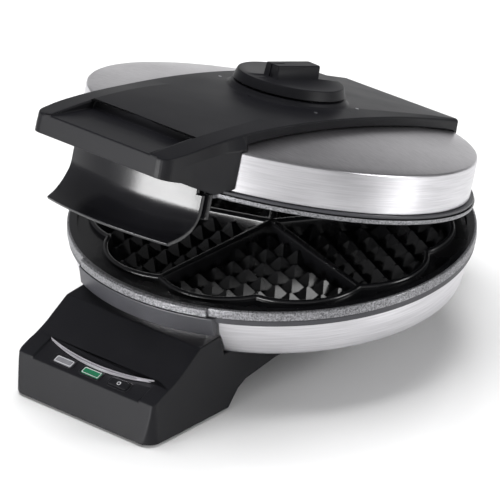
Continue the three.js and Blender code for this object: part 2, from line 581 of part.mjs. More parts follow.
// ---------------------------------------------------------------- upper plate and ring
const lidPlateZ = PARTING_Z + PLATE_GAP;
const lidCeilingZ = lidPlateZ + CAVITY_DEPTH;
const lidPlateTopZ = lidCeilingZ + PLATE_FLOOR;
const LID_RIM_TOP_Z = 63.6;
const upperBody = turned([[0, lidPlateZ + 1], [BODY_R, lidPlateZ + 1], [BODY_R, lidPlateTopZ - 2],
  [BODY_R - 2, lidPlateTopZ], [0, lidPlateTopZ]]).subtract(BEHIND_FLAT(BODY_FLAT_Y - GAP));
const upperRim = turned([[0, lidPlateZ], [RING_R - 0.7, lidPlateZ], [RING_R, lidPlateZ + 0.7],
  [RING_R, LID_RIM_TOP_Z], [0, LID_RIM_TOP_Z]]);
const upperPlateBoss = turned([[90, lidPlateZ], [BOSS_R, lidPlateZ], [BOSS_R, LID_RIM_TOP_Z],
  [90, LID_RIM_TOP_Z]]).intersect(onlyFront(BOSS_HALF_W - 1, 0, 100));
const BRIDGE_SCREWS = [[0, -66], [0, 62]];
const upperPlate = joined([upperBody, upperRim, upperPlateBoss]).subtract(BEHIND_FLAT(REAR_FLAT_Y));
add(lid, 'upper_plate', withHearts(upperPlate, lidCeilingZ, lidPlateZ - 0.001), CAST_PLATE);

const lidRingLowZ = LID_RIM_TOP_Z + GAP;
const lidRingTopZ = LID_SHELL_LOW_Z - GAP;
const lidRingBand = turned([[0, lidRingLowZ], [105.6, lidRingLowZ], [105.6, lidRingTopZ], [0, lidRingTopZ]])
  .subtract(BEHIND_FLAT(REAR_FLAT_Y));
const lidRingLip = turned([[0, lidRingTopZ - 1], [101.9, lidRingTopZ - 1], [101.9, 69], [0, 69]])
  .subtract(BEHIND_FLAT(REAR_FLAT_Y - 2));
const lidRingBore = turned([[0, 60], [RING_BORE_R, 60], [RING_BORE_R, 72], [0, 72]])
  .subtract(BEHIND_FLAT(BODY_FLAT_Y));
add(lid, 'upper_ring', joined([lidRingBand, lidRingLip]).subtract(lidRingBore), GREY_PLASTIC);

// ---------------------------------------------------------------- upper shell
function domeZ(r) {
  return LID_DOME_Z - (LID_DOME_Z - LID_EDGE_Z) * (r / LID_SHELL_R) ** 2;
}

// The domed lid shape, offset outwards by a distance; used for the shell and for what sits on it.
function domedProfile(lowZ, offset) {
  const r = LID_SHELL_R + offset;
  const rim = [[0, lowZ], [r, lowZ], [r, LID_EDGE_Z - 1.4 + offset], [r - 1.2, LID_EDGE_Z + offset]];
  const dome = [88, 70, 50, 28].map((at) => [at, domeZ(at) + offset]);
  return [...rim, ...dome, [0, LID_DOME_Z + offset]];
}

const SPINDLE_R = 3;
const spindleHole = post(SPINDLE_R + 1, 70, 105);
let upperShell = turned(domedProfile(LID_SHELL_LOW_Z, 0)).subtract(BEHIND_FLAT(REAR_FLAT_Y));
upperShell = upperShell.subtract(
  turned(domedProfile(LID_SHELL_LOW_Z - 1, -SHELL_WALL)).subtract(BEHIND_FLAT(REAR_FLAT_Y - SHELL_WALL)));
upperShell = without(upperShell, [spindleHole, ...BRIDGE_SCREWS.map(([x, y]) => post(2.4, 80, 100, x, y))]);
add(lid, 'upper_shell', upperShell, STEEL);

// ---------------------------------------------------------------- upper heater and controls
const lidHeaterZ = lidPlateTopZ + HEATER_TUBE_R + GAP;
add(lid, 'upper_heater', heater(lidHeaterZ, lidHeaterZ + 0.5), HEATER_STEEL);
const upperReflector = turned([[0, 82], [90, 82], [93, 79.4], [92.2, 79], [89.4, 81], [0, 81]], 40)
  .subtract(BEHIND_FLAT(REAR_FLAT_Y - 3));
add(lid, 'upper_reflector', upperReflector.subtract(post(17, 70, 100, 0, 0, 24)), ZINC_STEEL);
const thermostat = joined([block(-12, 12, -12, 12, lidPlateTopZ + GAP, 84), post(5, 83, 86)]);
add(lid, 'thermostat', thermostat, CERAMIC);
add(lid, 'thermal_fuse', rodAcross(3, -34, -18, -24, lidPlateTopZ + GAP + 3, 12), SILVER);

// ---------------------------------------------------------------- bridge with the handle
// A hollow moulding over the lid from the handle to the hinge. Its outline runs along Y as curves:
// half width, height of the top, and the crease between the flat top and the sloping sides.
function curveAlong(knots) {
  const at = new THREE.CubicInterpolant(knots.map(([y]) => y), knots.map(([, value]) => value), 1);
  return (y) => at.evaluate(y)[0];
}
const bridgeHalfW = curveAlong([[-145, 44.6], [-128, 45.9], [-110, 45.2], [-80, 43.8], [0, 44],
  [50, 42.8], [98.5, 39.8]]);
const bridgeTopZ = curveAlong([[-145, 84.3], [-112, 91.2], [-80, 95.8], [-40, 99.1], [0, 100.1],
  [40, 98.9], [70, 96.4], [98.5, 93]]);
const bridgeCreaseX = curveAlong([[-145, 35], [-85, 34], [-55, 31], [-15, 27.5], [20, 32], [50, 37.5],
  [98.5, 38.8]]);
const bridgeFlare = curveAlong([[-145, 0.3], [-118, 1], [-104, 2.4], [-90, 5.6], [-80, 0.4], [98.5, 0.2]]);
const STATIONS = [-145, -144.4, -142.6, -139];
for (let y = -130; y < BRIDGE_REAR_Y - 5; y += 10) STATIONS.push(y);
STATIONS.push(BRIDGE_REAR_Y);
const FRONT_CORNER_R = 6;

function cornerInset(y) {
  const into = FRONT_CORNER_R - Math.min(y - BRIDGE_FRONT_Y, FRONT_CORNER_R);
  return FRONT_CORNER_R - Math.sqrt(FRONT_CORNER_R ** 2 - into ** 2);
}

// The bridge's outer form, or, with an inset, the hollow inside it.
function bridgeForm(inset, lowZ) {
  const geometry = new THREE.BoxGeometry(2, 2, 2, 4, STATIONS.length - 1, 2);
  const place = geometry.attributes.position;
  const last = STATIONS.length - 1;
  for (let i = 0; i < place.count; i += 1) {
    const u = place.getX(i);
    const y = STATIONS[Math.round((place.getY(i) + 1) / 2 * last)];
    const level = Math.round(place.getZ(i));
    const halfW = bridgeHalfW(y) - cornerInset(y);
    const top = bridgeTopZ(y) - inset;
    const edge = top - CREASE_DROP;
    const atCrease = Math.abs(u) < 0.75;
    let x = halfW + (level < 1 ? bridgeFlare(y) : 0);
    if (atCrease) x = Math.min(bridgeCreaseX(y), halfW - 1) * Math.abs(u) * 2;
    const z = [lowZ, edge - 6, atCrease ? top : edge][level + 1];
    place.setXYZ(i, Math.sign(u) * Math.max(x - inset, 0), THREE.MathUtils.clamp(y, BRIDGE_FRONT_Y + inset,
      BRIDGE_REAR_Y - inset), z);
  }
  return solid(geometry);
}

const SKIRT_LOW_Z = 82;
const bridgeSide = across(polygon([[-150, 120], [-150, 73.3], [BRIDGE_FRONT_Y, 73.1], [-128, 71.1],
  [-125, 69.8], [-104, 64.1], [-87, 68], [-87, SKIRT_LOW_Z], [110, SKIRT_LOW_Z], [110, 120]]), -60, 60);
const aboveShell = turned(domedProfile(60, GAP)).subtract(BEHIND_FLAT(REAR_FLAT_Y + GAP));
const aboveRim = turned([[0, 60], [BOSS_R + GAP, 60], [BOSS_R + GAP, LID_SHELL_LOW_Z], [0, LID_SHELL_LOW_Z]]);
const COLLAR_R = 31.5;
const COLLAR_TOP_Z = 102.6;
const collar = turned([[0, 97], [COLLAR_R + 3, 97], [COLLAR_R + 2, 99.6], [COLLAR_R - 0.6, 100.6],
  [COLLAR_R - 2.4, COLLAR_TOP_Z], [0, COLLAR_TOP_Z]], 40);
const underBridge = across(polygon([[-84, 80], [92, 80], [92, 120], [-84, 120]]), -60, 60);
const bridgeHollow = bridgeForm(BRIDGE_WALL, 70).intersect(underBridge);
const SKIRT_POCKET = { halfW: 41.4, low: -123, high: -100, top: 74 };
const shieldPocket = block(-SKIRT_POCKET.halfW, SKIRT_POCKET.halfW, SKIRT_POCKET.low, SKIRT_POCKET.high,
  60, SKIRT_POCKET.top);
const RECESS_HALF_W = 33.5;
const gripRecess = across(polygon([[-147, 83.5], [-113.2, 86.4], [-111, 95], [-147, 95]]),
  -RECESS_HALF_W, RECESS_HALF_W);
const BRACKET = { halfW: 22, low: 95.6, high: 97.4, topZ: 90.4 };
const bracketPocket = block(-BRACKET.halfW - GAP, BRACKET.halfW + GAP, 90, BRACKET.high + GAP, 80,
  BRACKET.topZ + GAP);
const bracketSlots = [EYE_X, [-EYE_X[1], -EYE_X[0]]].map(([lowX, highX]) => block(
  lowX - GAP, highX + GAP, 90, 110, 80, BRACKET.topZ + GAP));
const screwPosts = BRIDGE_SCREWS.map(([x, y]) => post(4.5, 92, bridgeTopZ(y) - 1, x, y));

let bridge = bridgeForm(0, 60).intersect(bridgeSide).subtract(bridgeHollow);
bridge = without(joined([bridge, collar, ...screwPosts]), [aboveShell, aboveRim, shieldPocket, gripRecess,
  bracketPocket, ...bracketSlots, spindleHole, ...BRIDGE_SCREWS.map(([x, y]) => post(1.9, 80, 96, x, y))]);
add(lid, 'lid_bridge', bridge, BLACK_PLASTIC);
BRIDGE_SCREWS.forEach(([x, y], i) => {
  const headZ = domeZ(Math.hypot(x, y)) - SHELL_WALL - GAP - 1.8;
  add(lid, `bridge_screw_${['front', 'rear'][i]}`, screw(x, y, headZ, 6.6), ZINC_STEEL);
});

// ---------------------------------------------------------------- grip shield and heat guard
// Two curved sheets hang behind the handle: the shield flares forward into a lip under the fingers.
const SHIELD_TOP_Z = 73;
const clipAbove = polygon([[-SKIRT_POCKET.halfW + GAP, 90], [-SKIRT_POCKET.halfW + GAP, 63.4],
  [-44, 63.4], [-44, 30], [44, 30], [44, 63.4], [SKIRT_POCKET.halfW - GAP, 63.4],
  [SKIRT_POCKET.halfW - GAP, 90]]);
const frontClip = lengthways(clipAbove, -150, -60);
const lipPlan = polygon([[-44, -60], [-44, -112], [-39.8, -126.5], [-36.5, -130.5], [-30, -140],
  [30, -140], [36.5, -130.5], [39.8, -126.5], [44, -112], [44, -60]]);
const shield = turned([[116, SHIELD_TOP_Z], [116, 55], [117, 50], [120.4, 44.4], [126, 39.4], [132, 36.6],
  [133, 38.2], [127.4, 41], [122.2, 45.6], [119, 50.8], [118, 55.4], [118, SHIELD_TOP_Z]], 72);
add(lid, 'grip_shield', shield.intersect(frontClip).intersect(upright(lipPlan, 20, 100)), DARK_PLASTIC);
const guard = turned([[110.4, SHIELD_TOP_Z], [110.4, 50], [112.2, 50], [112.2, SHIELD_TOP_Z]], 72);
add(lid, 'heat_guard', guard.intersect(frontClip).intersect(upright(lipPlan, 20, 100)), DARK_PLASTIC);

// ---------------------------------------------------------------- hinge bracket
const armShape = polygon([[BRACKET.low, BRACKET.topZ], [BRACKET.low, 83], [102.4, 71.2], [HINGE_Y, 70],
  [111.4, 79], [99, BRACKET.topZ]]);
const bracketArms = [EYE_X, [-EYE_X[1], -EYE_X[0]]].flatMap(([lowX, highX]) => [
  across(armShape, lowX, highX), rodAcross(EYE_R, lowX, highX, HINGE_Y, HINGE_Z, 20)]);
const bracket = joined([block(-BRACKET.halfW, BRACKET.halfW, BRACKET.low, BRACKET.high, 83, BRACKET.topZ),
  ...bracketArms]).subtract(pinBore);
add(lid, 'hinge_bracket', bracket, ZINC_STEEL);

// ---------------------------------------------------------------- temperature knob
const gripBar = new THREE.Shape();
gripBar.moveTo(-6.6, KNOB_TOP_Z - 0.5);
gripBar.lineTo(6.6, KNOB_TOP_Z - 0.5);
gripBar.lineTo(4, BAR_TOP_Z);
gripBar.lineTo(-4, BAR_TOP_Z);
const barBody = lengthways(gripBar, -15.6, 15.6);
const turnedBar = solid(geometryOf(barBody).rotateZ(BAR_TURN));
const knobDisc = turned([[0, KNOB_LOW_Z], [29.7, KNOB_LOW_Z], [28.2, KNOB_TOP_Z - 0.6], [27.2, KNOB_TOP_Z],
  [0, KNOB_TOP_Z]], 40);
const knobBore = post(SPINDLE_R + GAP, 100, 107.5);
add(lid, 'temperature_knob', joined([knobDisc, turnedBar]).subtract(knobBore), BLACK_PLASTIC);
add(lid, 'knob_spindle', post(SPINDLE_R, 86.6, 107), ZINC_STEEL);

export default waffleMaker;
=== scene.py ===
import json
import math

import bpy
from mathutils import Matrix, Vector


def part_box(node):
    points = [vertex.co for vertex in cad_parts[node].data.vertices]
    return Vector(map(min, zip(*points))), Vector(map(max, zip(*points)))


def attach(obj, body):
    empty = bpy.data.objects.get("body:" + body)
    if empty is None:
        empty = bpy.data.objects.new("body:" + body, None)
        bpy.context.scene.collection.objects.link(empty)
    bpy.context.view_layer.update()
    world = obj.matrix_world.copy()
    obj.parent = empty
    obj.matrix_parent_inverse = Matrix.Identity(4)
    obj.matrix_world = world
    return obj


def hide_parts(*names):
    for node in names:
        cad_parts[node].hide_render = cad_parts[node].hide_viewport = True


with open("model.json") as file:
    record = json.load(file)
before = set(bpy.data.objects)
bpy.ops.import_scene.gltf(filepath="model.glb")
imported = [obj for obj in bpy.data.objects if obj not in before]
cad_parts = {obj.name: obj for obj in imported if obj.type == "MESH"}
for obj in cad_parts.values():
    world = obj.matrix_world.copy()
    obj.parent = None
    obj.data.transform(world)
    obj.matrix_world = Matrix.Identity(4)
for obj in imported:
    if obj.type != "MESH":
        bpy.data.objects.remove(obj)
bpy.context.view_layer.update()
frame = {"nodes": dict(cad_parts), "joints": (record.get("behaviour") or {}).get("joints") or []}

# ---------------------------------------------------------------- camera
# A long lens from the front right, a little above the lid: it stands more than three metres off,
# so that near and far edges keep almost the same scale.
AZIMUTH = math.radians(41.18)
ELEVATION = math.radians(26.35)
ROLL = math.radians(0.35)
CAMERA_DISTANCE = 3.123
LENS_MM = 428.3
AIM = Vector((-0.01509, 0.01295, 0.03796))

towards_camera = Vector((
    math.sin(AZIMUTH) * math.cos(ELEVATION),
    -math.cos(AZIMUTH) * math.cos(ELEVATION),
    math.sin(ELEVATION),
))
camera = bpy.data.objects.new("camera", bpy.data.cameras.new("camera"))
bpy.context.scene.collection.objects.link(camera)
camera.data.lens = LENS_MM
camera.data.sensor_width = 36
camera.data.clip_start = 0.1
camera.data.clip_end = 50
camera.location = AIM + towards_camera * CAMERA_DISTANCE
camera.rotation_mode = "QUATERNION"
turn = (-towards_camera).to_track_quat("-Z", "Y").to_matrix().to_4x4() @ Matrix.Rotation(ROLL, 4, "Z")
camera.rotation_quaternion = turn.to_quaternion()
bpy.context.scene.camera = camera


# ---------------------------------------------------------------- floor and light
# A pale lacquered table top that mirrors a little, and a small studio around it: a large soft
# box above, smaller ones low in front of the handle and behind on the right, and two white walls.
def linear(hex_colour):
    """An sRGB colour such as "2a2a28" as linear red, green, blue and alpha."""
    parts = [int(hex_colour[i:i + 2], 16) / 255 for i in (0, 2, 4)]
    return (*[p / 12.92 if p <= 0.04045 else ((p + 0.055) / 1.055) ** 2.4 for p in parts], 1)


def add_node(material, kind, sockets=None, **settings):
    """Adds a node; a socket takes a plain value or another node's output."""
    made = material.node_tree.nodes.new(kind)
    for key, value in settings.items():
        setattr(made, key, value)
    for key, value in (sockets or {}).items():
        if isinstance(value, bpy.types.NodeSocket):
            material.node_tree.links.new(value, made.inputs[key])
        else:
            made.inputs[key].default_value = value
    return made


def surface(name, colours, roughness, grain_mm, relief_mm, clouds_mm=40, stretch=(1, 1, 1), tilt=0.0,
            coloured_by_grain=False, **sockets):
    """A finish made of clouds and a fine grain in the piece's own coordinates. The clouds vary its
    roughness and, unless the grain does, mix its two colours; the grain stands up by relief_mm. The
    sockets are constants on the shader."""
    material = bpy.data.materials.new(name)
    material.use_nodes = True
    material.node_tree.nodes.clear()
    shader = add_node(material, "ShaderNodeBsdfPrincipled", {
        key.replace("_", " "): value for key, value in sockets.items()})
    add_node(material, "ShaderNodeOutputMaterial", {"Surface": shader.outputs[0]})
    place = add_node(material, "ShaderNodeTexCoord")
    tilted = add_node(material, "ShaderNodeMapping", {
        "Vector": place.outputs["Object"], "Rotation": (tilt, 0, 0)})
    drawn_out = add_node(material, "ShaderNodeMapping", {"Vector": tilted.outputs[0], "Scale": stretch})
    grain = add_node(material, "ShaderNodeTexNoise", {
        "Vector": drawn_out.outputs[0], "Scale": 1000 / grain_mm, "Detail": 3})
    clouds = add_node(material, "ShaderNodeTexNoise", {
        "Vector": place.outputs["Object"], "Scale": 1000 / clouds_mm, "Detail": 3})
    shade = add_node(material, "ShaderNodeMapRange", {
        "Value": (grain if coloured_by_grain else clouds).outputs["Fac"], "From Min": 0.3, "From Max": 0.7})
    colour = add_node(material, "ShaderNodeMix", {"Factor": shade.outputs[0]}, data_type="RGBA")
    colour.inputs[6].default_value = linear(colours[0])
    colour.inputs[7].default_value = linear(colours[1])
    material.node_tree.links.new(colour.outputs[2], shader.inputs["Base Color"])
    gloss = add_node(material, "ShaderNodeMapRange", {
        "Value": clouds.outputs["Fac"], "From Min": 0.3, "From Max": 0.7,
        "To Min": roughness[0], "To Max": roughness[1]})
    material.node_tree.links.new(gloss.outputs[0], shader.inputs["Roughness"])
    relief = add_node(material, "ShaderNodeBump", {
        "Height": grain.outputs["Fac"], "Strength": 1.0, "Distance": relief_mm / 1000})
    material.node_tree.links.new(relief.outputs[0], shader.inputs["Normal"])
    return material


# Sprayed and polished lacquer: near white, and glossy enough to mirror the foot of the object.
lacquer = surface("pale_lacquered_board", ("f4f4f4", "f8f8f8"), (0.1, 0.14), 60, 0.002, 400)
FLOOR_HALF = 3.0
bpy.ops.object.select_all(action="DESELECT")
bpy.ops.mesh.primitive_plane_add(size=2 * FLOOR_HALF, location=(0, 0, 0))
floor = bpy.context.object
floor.name = "floor"
floor.data.materials.append(lacquer)


def soft_box(name, place, aim, width, height, watts):
    """A white rectangular light at a place, turned to face the point it aims at."""
    lamp = bpy.data.lights.new(name, "AREA")
    lamp.shape = "RECTANGLE"
    lamp.size = width
    lamp.size_y = height
    lamp.energy = watts
    light = bpy.data.objects.new(name, lamp)
    bpy.context.scene.collection.objects.link(light)
    light.location = place
    light.rotation_mode = "QUATERNION"
    light.rotation_quaternion = (Vector(aim) - Vector(place)).to_track_quat("-Z", "Y")


soft_box("soft_box_above", (-0.35, 0.15, 1.7), (0, 0, 0), 1.5, 1.5, 40)
soft_box("soft_box_front", (-0.32, -1.7, 0.22), (0, 0, 0.1), 1.1, 0.35, 32)
soft_box("soft_box_right", (1.7, 0.75, 0.75), (0, 0, 0.05), 0.8, 0.9, 15)
soft_box("wall_behind", (-1.5, 2.0, 0.3), (0, 0, 0.15), 2.4, 0.6, 2.6)
soft_box("wall_in_front", (2.3, -2.6, 0.75), (0, 0, 0.1), 4.5, 1.2, 15)
# The box above lights the pieces but isn't mirrored in them: it would wash out the dome and the table.
bpy.data.objects["soft_box_above"].visible_glossy = False

world = bpy.data.worlds.new("studio")
bpy.context.scene.world = world
world.use_nodes = True
world.node_tree.nodes["Background"].inputs["Color"].default_value = linear("e8e8ea")
world.node_tree.nodes["Background"].inputs["Strength"].default_value = 0.25
bpy.context.scene.view_settings.view_transform = "Standard"

# ---------------------------------------------------------------- base housing
# One moulding of black glass-filled polyester (PBT): control box in front, flat arm under the pan,
# block with the hinge posts behind. Its sides lean in by the draft of the mould and its upright
# corners are well rounded.

# Every piece is drawn in millimetres around the axis of the round plates, with the lid closed. The
# frame says where that axis stands: BOSS_R behind the front end of the lower plate.
BOSS_R = 109
MM = Matrix.Scale(0.001, 4)
PAN = Matrix.Translation((0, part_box("lower_plate")[0].y + BOSS_R / 1000, 0))
ON_BASE = PAN @ MM
GAP = 0.4

# The mould is spark-eroded: its fine even grain breaks up the light, so that the plastic is black from
# above and grey where it mirrors the table. The real grain of 0.2 mm is drawn at 0.7 mm to show.
grained_pbt = surface("grained_black_pbt", ("111114", "18181b"), (0.4, 0.5), 0.7, 0.03, 45,
                      Specular_IOR_Level=0.2)

FRONT_Y = -147.9
REAR_BLOCK_Y = 120
HALF_W = 48.2
REAR_HALF_W = 36
CORNER_R = 8
DRAFT = 0.045
ARM_TOP_Z = 32.5


def edit():
    """Edit mode, with the whole piece selected."""
    bpy.ops.object.mode_set(mode="EDIT")
    bpy.ops.mesh.select_all(action="SELECT")


def object_mode():
    bpy.ops.object.mode_set(mode="OBJECT")


def only(piece):
    """Selects one object alone and makes it the active one."""
    bpy.ops.object.select_all(action="DESELECT")
    piece.select_set(True)
    bpy.context.view_layer.objects.active = piece


def clean(piece):
    """Merges corners that coincide and turns all faces outwards."""
    only(piece)
    edit()
    bpy.ops.mesh.remove_doubles(threshold=0.002)
    bpy.ops.mesh.normals_make_consistent(inside=False)
    object_mode()
    return piece


def outline(name, points):
    """A chain of edges through 3-D points, drawn by extruding one corner from point to point."""
    bpy.ops.object.select_all(action="DESELECT")
    bpy.ops.mesh.primitive_plane_add(size=1)
    piece = bpy.context.object
    piece.name = name
    edit()
    bpy.ops.mesh.merge(type="CENTER")
    bpy.ops.transform.translate(value=points[0])
    for a, b in zip(points, points[1:]):
        step = Vector(b) - Vector(a)
        bpy.ops.mesh.extrude_vertices_move(TRANSFORM_OT_translate={"value": step})
    object_mode()
    return piece


def prism(name, points, low, high):
    """A flat outline in mm raised from one height to another."""
    piece = outline(name, [(x, y, low) for x, y in [*points, points[0]]])
    only(piece)
    edit()
    bpy.ops.mesh.remove_doubles(threshold=0.002)
    bpy.ops.mesh.edge_face_add()
    bpy.ops.mesh.extrude_region_move(TRANSFORM_OT_translate={"value": (0, 0, high - low)})
    object_mode()
    return clean(piece)


# Turns what is drawn flat: its x and y become y and z, and its height runs along X.
ACROSS = Matrix(((0, 0, 1, 0), (1, 0, 0, 0), (0, 1, 0, 0), (0, 0, 0, 1)))


def moved(piece, place):
    """Moves or turns a piece by a matrix and applies it, so that its object stays at the origin."""
    only(piece)
    piece.matrix_world = place @ piece.matrix_world
    bpy.ops.object.transform_apply()
    return piece


def prism_across(name, points, low, high):
    """A (y, z) outline in mm drawn out along X."""
    return moved(prism(name, points, low, high), ACROSS)


def arc(cx, cy, radius, start, end, steps):
    """Points along an arc, angles in radians, both ends included."""
    return [(cx + radius * math.cos(start + (end - start) * i / steps),
             cy + radius * math.sin(start + (end - start) * i / steps)) for i in range(steps + 1)]


def boolean(piece, other, operation):
    """Joins, cuts or intersects with another object, which is then thrown away."""
    only(piece)
    modifier = piece.modifiers.new("boolean", "BOOLEAN")
    modifier.operation = operation
    modifier.object = other
    modifier.solver = "EXACT"
    bpy.ops.object.modifier_apply(modifier=modifier.name)
    bpy.data.objects.remove(other)
    return piece


side_profile = [(FRONT_Y, 1.2), (-88, 1.2), (-80.3, 9.3), (-74.3, 12.4), (-50, 16), (38, 16), (44, 1.2),
                (REAR_BLOCK_Y, 1.2), (REAR_BLOCK_Y, 56), (97, 56), (97, ARM_TOP_Z), (-90.2, ARM_TOP_Z),
                (-90.2, 43.7), (-107.7, 42.1), *arc(-150.2, 78.9, 54, -0.95, -1.29, 6), (-144, 23.3)]
front_corner = arc(HALF_W - CORNER_R, FRONT_Y + CORNER_R, CORNER_R, -math.pi / 2, 0, 10)
rear_corner = arc(REAR_HALF_W - CORNER_R, REAR_BLOCK_Y - CORNER_R, CORNER_R, 0, math.pi / 2, 10)
plan = [*front_corner, (HALF_W, 50), *rear_corner]
plan += [(-x, y) for x, y in reversed(plan)]
base = prism_across("base_moulding", side_profile, -HALF_W, HALF_W)
boolean(base, prism("plan", plan, 0, 70), "INTERSECT")
for corner in base.data.vertices:
    corner.co.x -= math.copysign(DRAFT * corner.co.z, corner.co.x)

# The sloping panel sinks in below a shallow arc. It is drawn in its own tilted frame: x across, y up
# the slope, z out of the panel.
PANEL_EDGE = (0, -144, 22.4)
PANEL_TILT = math.radians(20)
PANEL = Matrix.Translation(PANEL_EDGE) @ Matrix.Rotation(PANEL_TILT, 4, "X")
PANEL_HALF_W = 36.6
ARC_END_Y = 15.4
ARC_MID_Y = 10.6


def bow(half_w, end_y, mid_y):
    """Points from left to right along the shallow arc through both ends and the middle."""
    rise = end_y - mid_y
    r = (half_w ** 2 + rise ** 2) / (2 * rise)
    half = math.asin(half_w / r)
    return arc(0, mid_y + r, r, -math.pi / 2 - half, -math.pi / 2 + half, 30)


def cut(piece, *others):
    """Cuts other objects out of a piece, one after another."""
    for other in others:
        boolean(piece, other, "DIFFERENCE")
    return piece


def smooth(piece, angle):
    """Smooth shading across edges that turn by less than angle degrees."""
    only(piece)
    bpy.ops.object.shade_smooth_by_angle(angle=math.radians(angle))
    return piece


def soften(piece, width, segments=2, angle=30, smooth_angle=None):
    """Rounds the edges that turn by more than angle degrees, and shades the rest smooth."""
    smooth(piece, smooth_angle or angle)
    bevel = piece.modifiers.new("edges", "BEVEL")
    bevel.width = width
    bevel.segments = segments
    bevel.limit_method = "ANGLE"
    bevel.angle_limit = math.radians(angle)
    bevel.use_clamp_overlap = False
    bpy.ops.object.modifier_apply(modifier=bevel.name)
    smooth(piece, smooth_angle or angle)
    flat = piece.modifiers.new("flat", "WEIGHTED_NORMAL")
    flat.keep_sharp = True
    bpy.ops.object.modifier_apply(modifier=flat.name)
    return piece


recess_arc = bow(PANEL_HALF_W, ARC_END_Y, ARC_MID_Y)
recess = prism("recess", [*recess_arc, (PANEL_HALF_W, -8), (-PANEL_HALF_W, -8)], 0, 14)
cut(base, moved(recess, PANEL))
soften(base, 0.7, 3, 22, 9)

# Three posts on the rear block hold the pins of the lid.
HINGE_Y = 107
HINGE_Z = 75


def lathe(name, profile, steps=144):
    """A closed (radius, height) profile in mm, spun about Z."""
    piece = outline(name, [(r, 0, z) for r, z in [*profile, profile[0]]])
    only(piece)
    edit()
    bpy.ops.mesh.spin(steps=steps, angle=2 * math.pi, center=(0, 0, 0), axis=(0, 0, 1))
    object_mode()
    return clean(piece)


def rod_across(name, r, low_x, high_x, y, z):
    """A round rod along X."""
    return moved(lathe(name, [(0, low_x), (r, low_x), (r, high_x), (0, high_x)], 32),
                 Matrix.Translation((0, y, z)) @ ACROSS)


post_profile = [(97, 30), (REAR_BLOCK_Y, 30), (REAR_BLOCK_Y, 60),
                *arc(HINGE_Y, HINGE_Z, 6.5, 0, math.pi, 14), (97, 68)]
for low_x, high_x in ((-30, -22.6), (-13, 13), (22.6, 30)):
    post = cut(prism_across("post", post_profile, low_x, high_x),
               rod_across("bore", 3.4, low_x - 1, high_x + 1, HINGE_Y, HINGE_Z))
    boolean(base, soften(post, 0.6, 2, 40), "UNION")

# The housing is hollow in front and behind, carries the lower shell in a round seat, and has holes
# for the lamps, the button and the cord's gland.
SHELL_LOW_Z = 32.9
SHELL_HIGH_Z = 51.7
LAMP_Y = 5.4
LAMP_HALF_W = 6
LAMP_HALF_H = 2.3
LAMPS_X = {"heating": -19, "ready": 0, "button": 19}


def pan_seat(name, air):
    """The room of the lower shell, with air all round: a plainer profile than the shell's own."""
    profile = [(97.5, SHELL_LOW_Z), (100.4, 34.4), (101.9, 38.5), (103.4, 45), (104, SHELL_HIGH_Z)]
    return lathe(name, [(0, SHELL_LOW_Z - air), *[(r + air, z - air) for r, z in profile],
                        (0, SHELL_HIGH_Z - air)], 192)


def block(name, low, high):
    """A box between two opposite corners, in mm."""
    size = Vector(high) - Vector(low)
    bpy.ops.object.select_all(action="DESELECT")
    bpy.ops.mesh.primitive_cube_add(size=1, location=(Vector(low) + Vector(high)) / 2, scale=size)
    piece = bpy.context.object
    piece.name = name
    bpy.ops.object.transform_apply()
    return piece


def fit_out(piece, materials, place, body, slot, *nodes):
    """Puts a finished piece in its place; gives it its materials and body, and hides the nodes it replaces.
    The slot is not used.
    """
    moved(piece, place)
    own_faces = [face.material_index for face in piece.data.polygons]
    piece.data.materials.clear()
    for material in materials:
        piece.data.materials.append(material)
    for face, index in zip(piece.data.polygons, own_faces):
        face.material_index = index if len(materials) > 1 else 0
    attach(piece, body)
    if nodes:
        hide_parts(*nodes)


front_cavity = cut(prism_across("cavity", [
    (-144.8, 0), (-91.2, 0), (-86.5, 9), (-86.5, 29.7), (-93, 29.7), (-93, 40.9), (-106.7, 38.7),
    (-120, 30.4), (-130, 24.5), (-141.8, 20)], -43, 43), pan_seat("wall", 2.8))
cut(base, pan_seat("seat", GAP), front_cavity, block("cavity", (-32, 46, 0), (32, 117.2, 29.7)))
for x in LAMPS_X.values():
    cut(base, moved(block("lamp", (x - LAMP_HALF_W - GAP, LAMP_Y - LAMP_HALF_H - GAP, -6),
                          (x + LAMP_HALF_W + GAP, LAMP_Y + LAMP_HALF_H + GAP, 3)), PANEL))
gland_hole = lathe("gland", [(0, 110), (8.4, 110), (8.4, 125), (0, 125)], 48)
cut(base, moved(gland_hole, Matrix.Translation((0, 0, 18)) @ Matrix.Rotation(-math.pi / 2, 4, "X")))
fit_out(smooth(base, 22), [grained_pbt], ON_BASE, "base", "black_plastic", "base_housing")

# ---------------------------------------------------------------- shells
# Deep-drawn stainless steel of 0.6 mm, brushed: round the side in level strokes, across the domed
# lid in straight ones. Both shells end in a flat wall in front of the hinge.

# The walls are drawn a little thicker than the sheet.
SHELL_WALL = 0.8
REAR_FLAT_Y = 95

# The lid, and all that is fixed to it, is drawn closed and turned up about the hinge to its rest angle.
hinge = next(joint for joint in frame["joints"] if joint["name"] == "lid_hinge")
hinge_point = Matrix.Translation(hinge["pos_m"])
LID_TILT = math.radians(hinge["range_deg"][0])
ON_LID = hinge_point @ Matrix.Rotation(LID_TILT, 4, "X") @ hinge_point.inverted() @ PAN @ MM

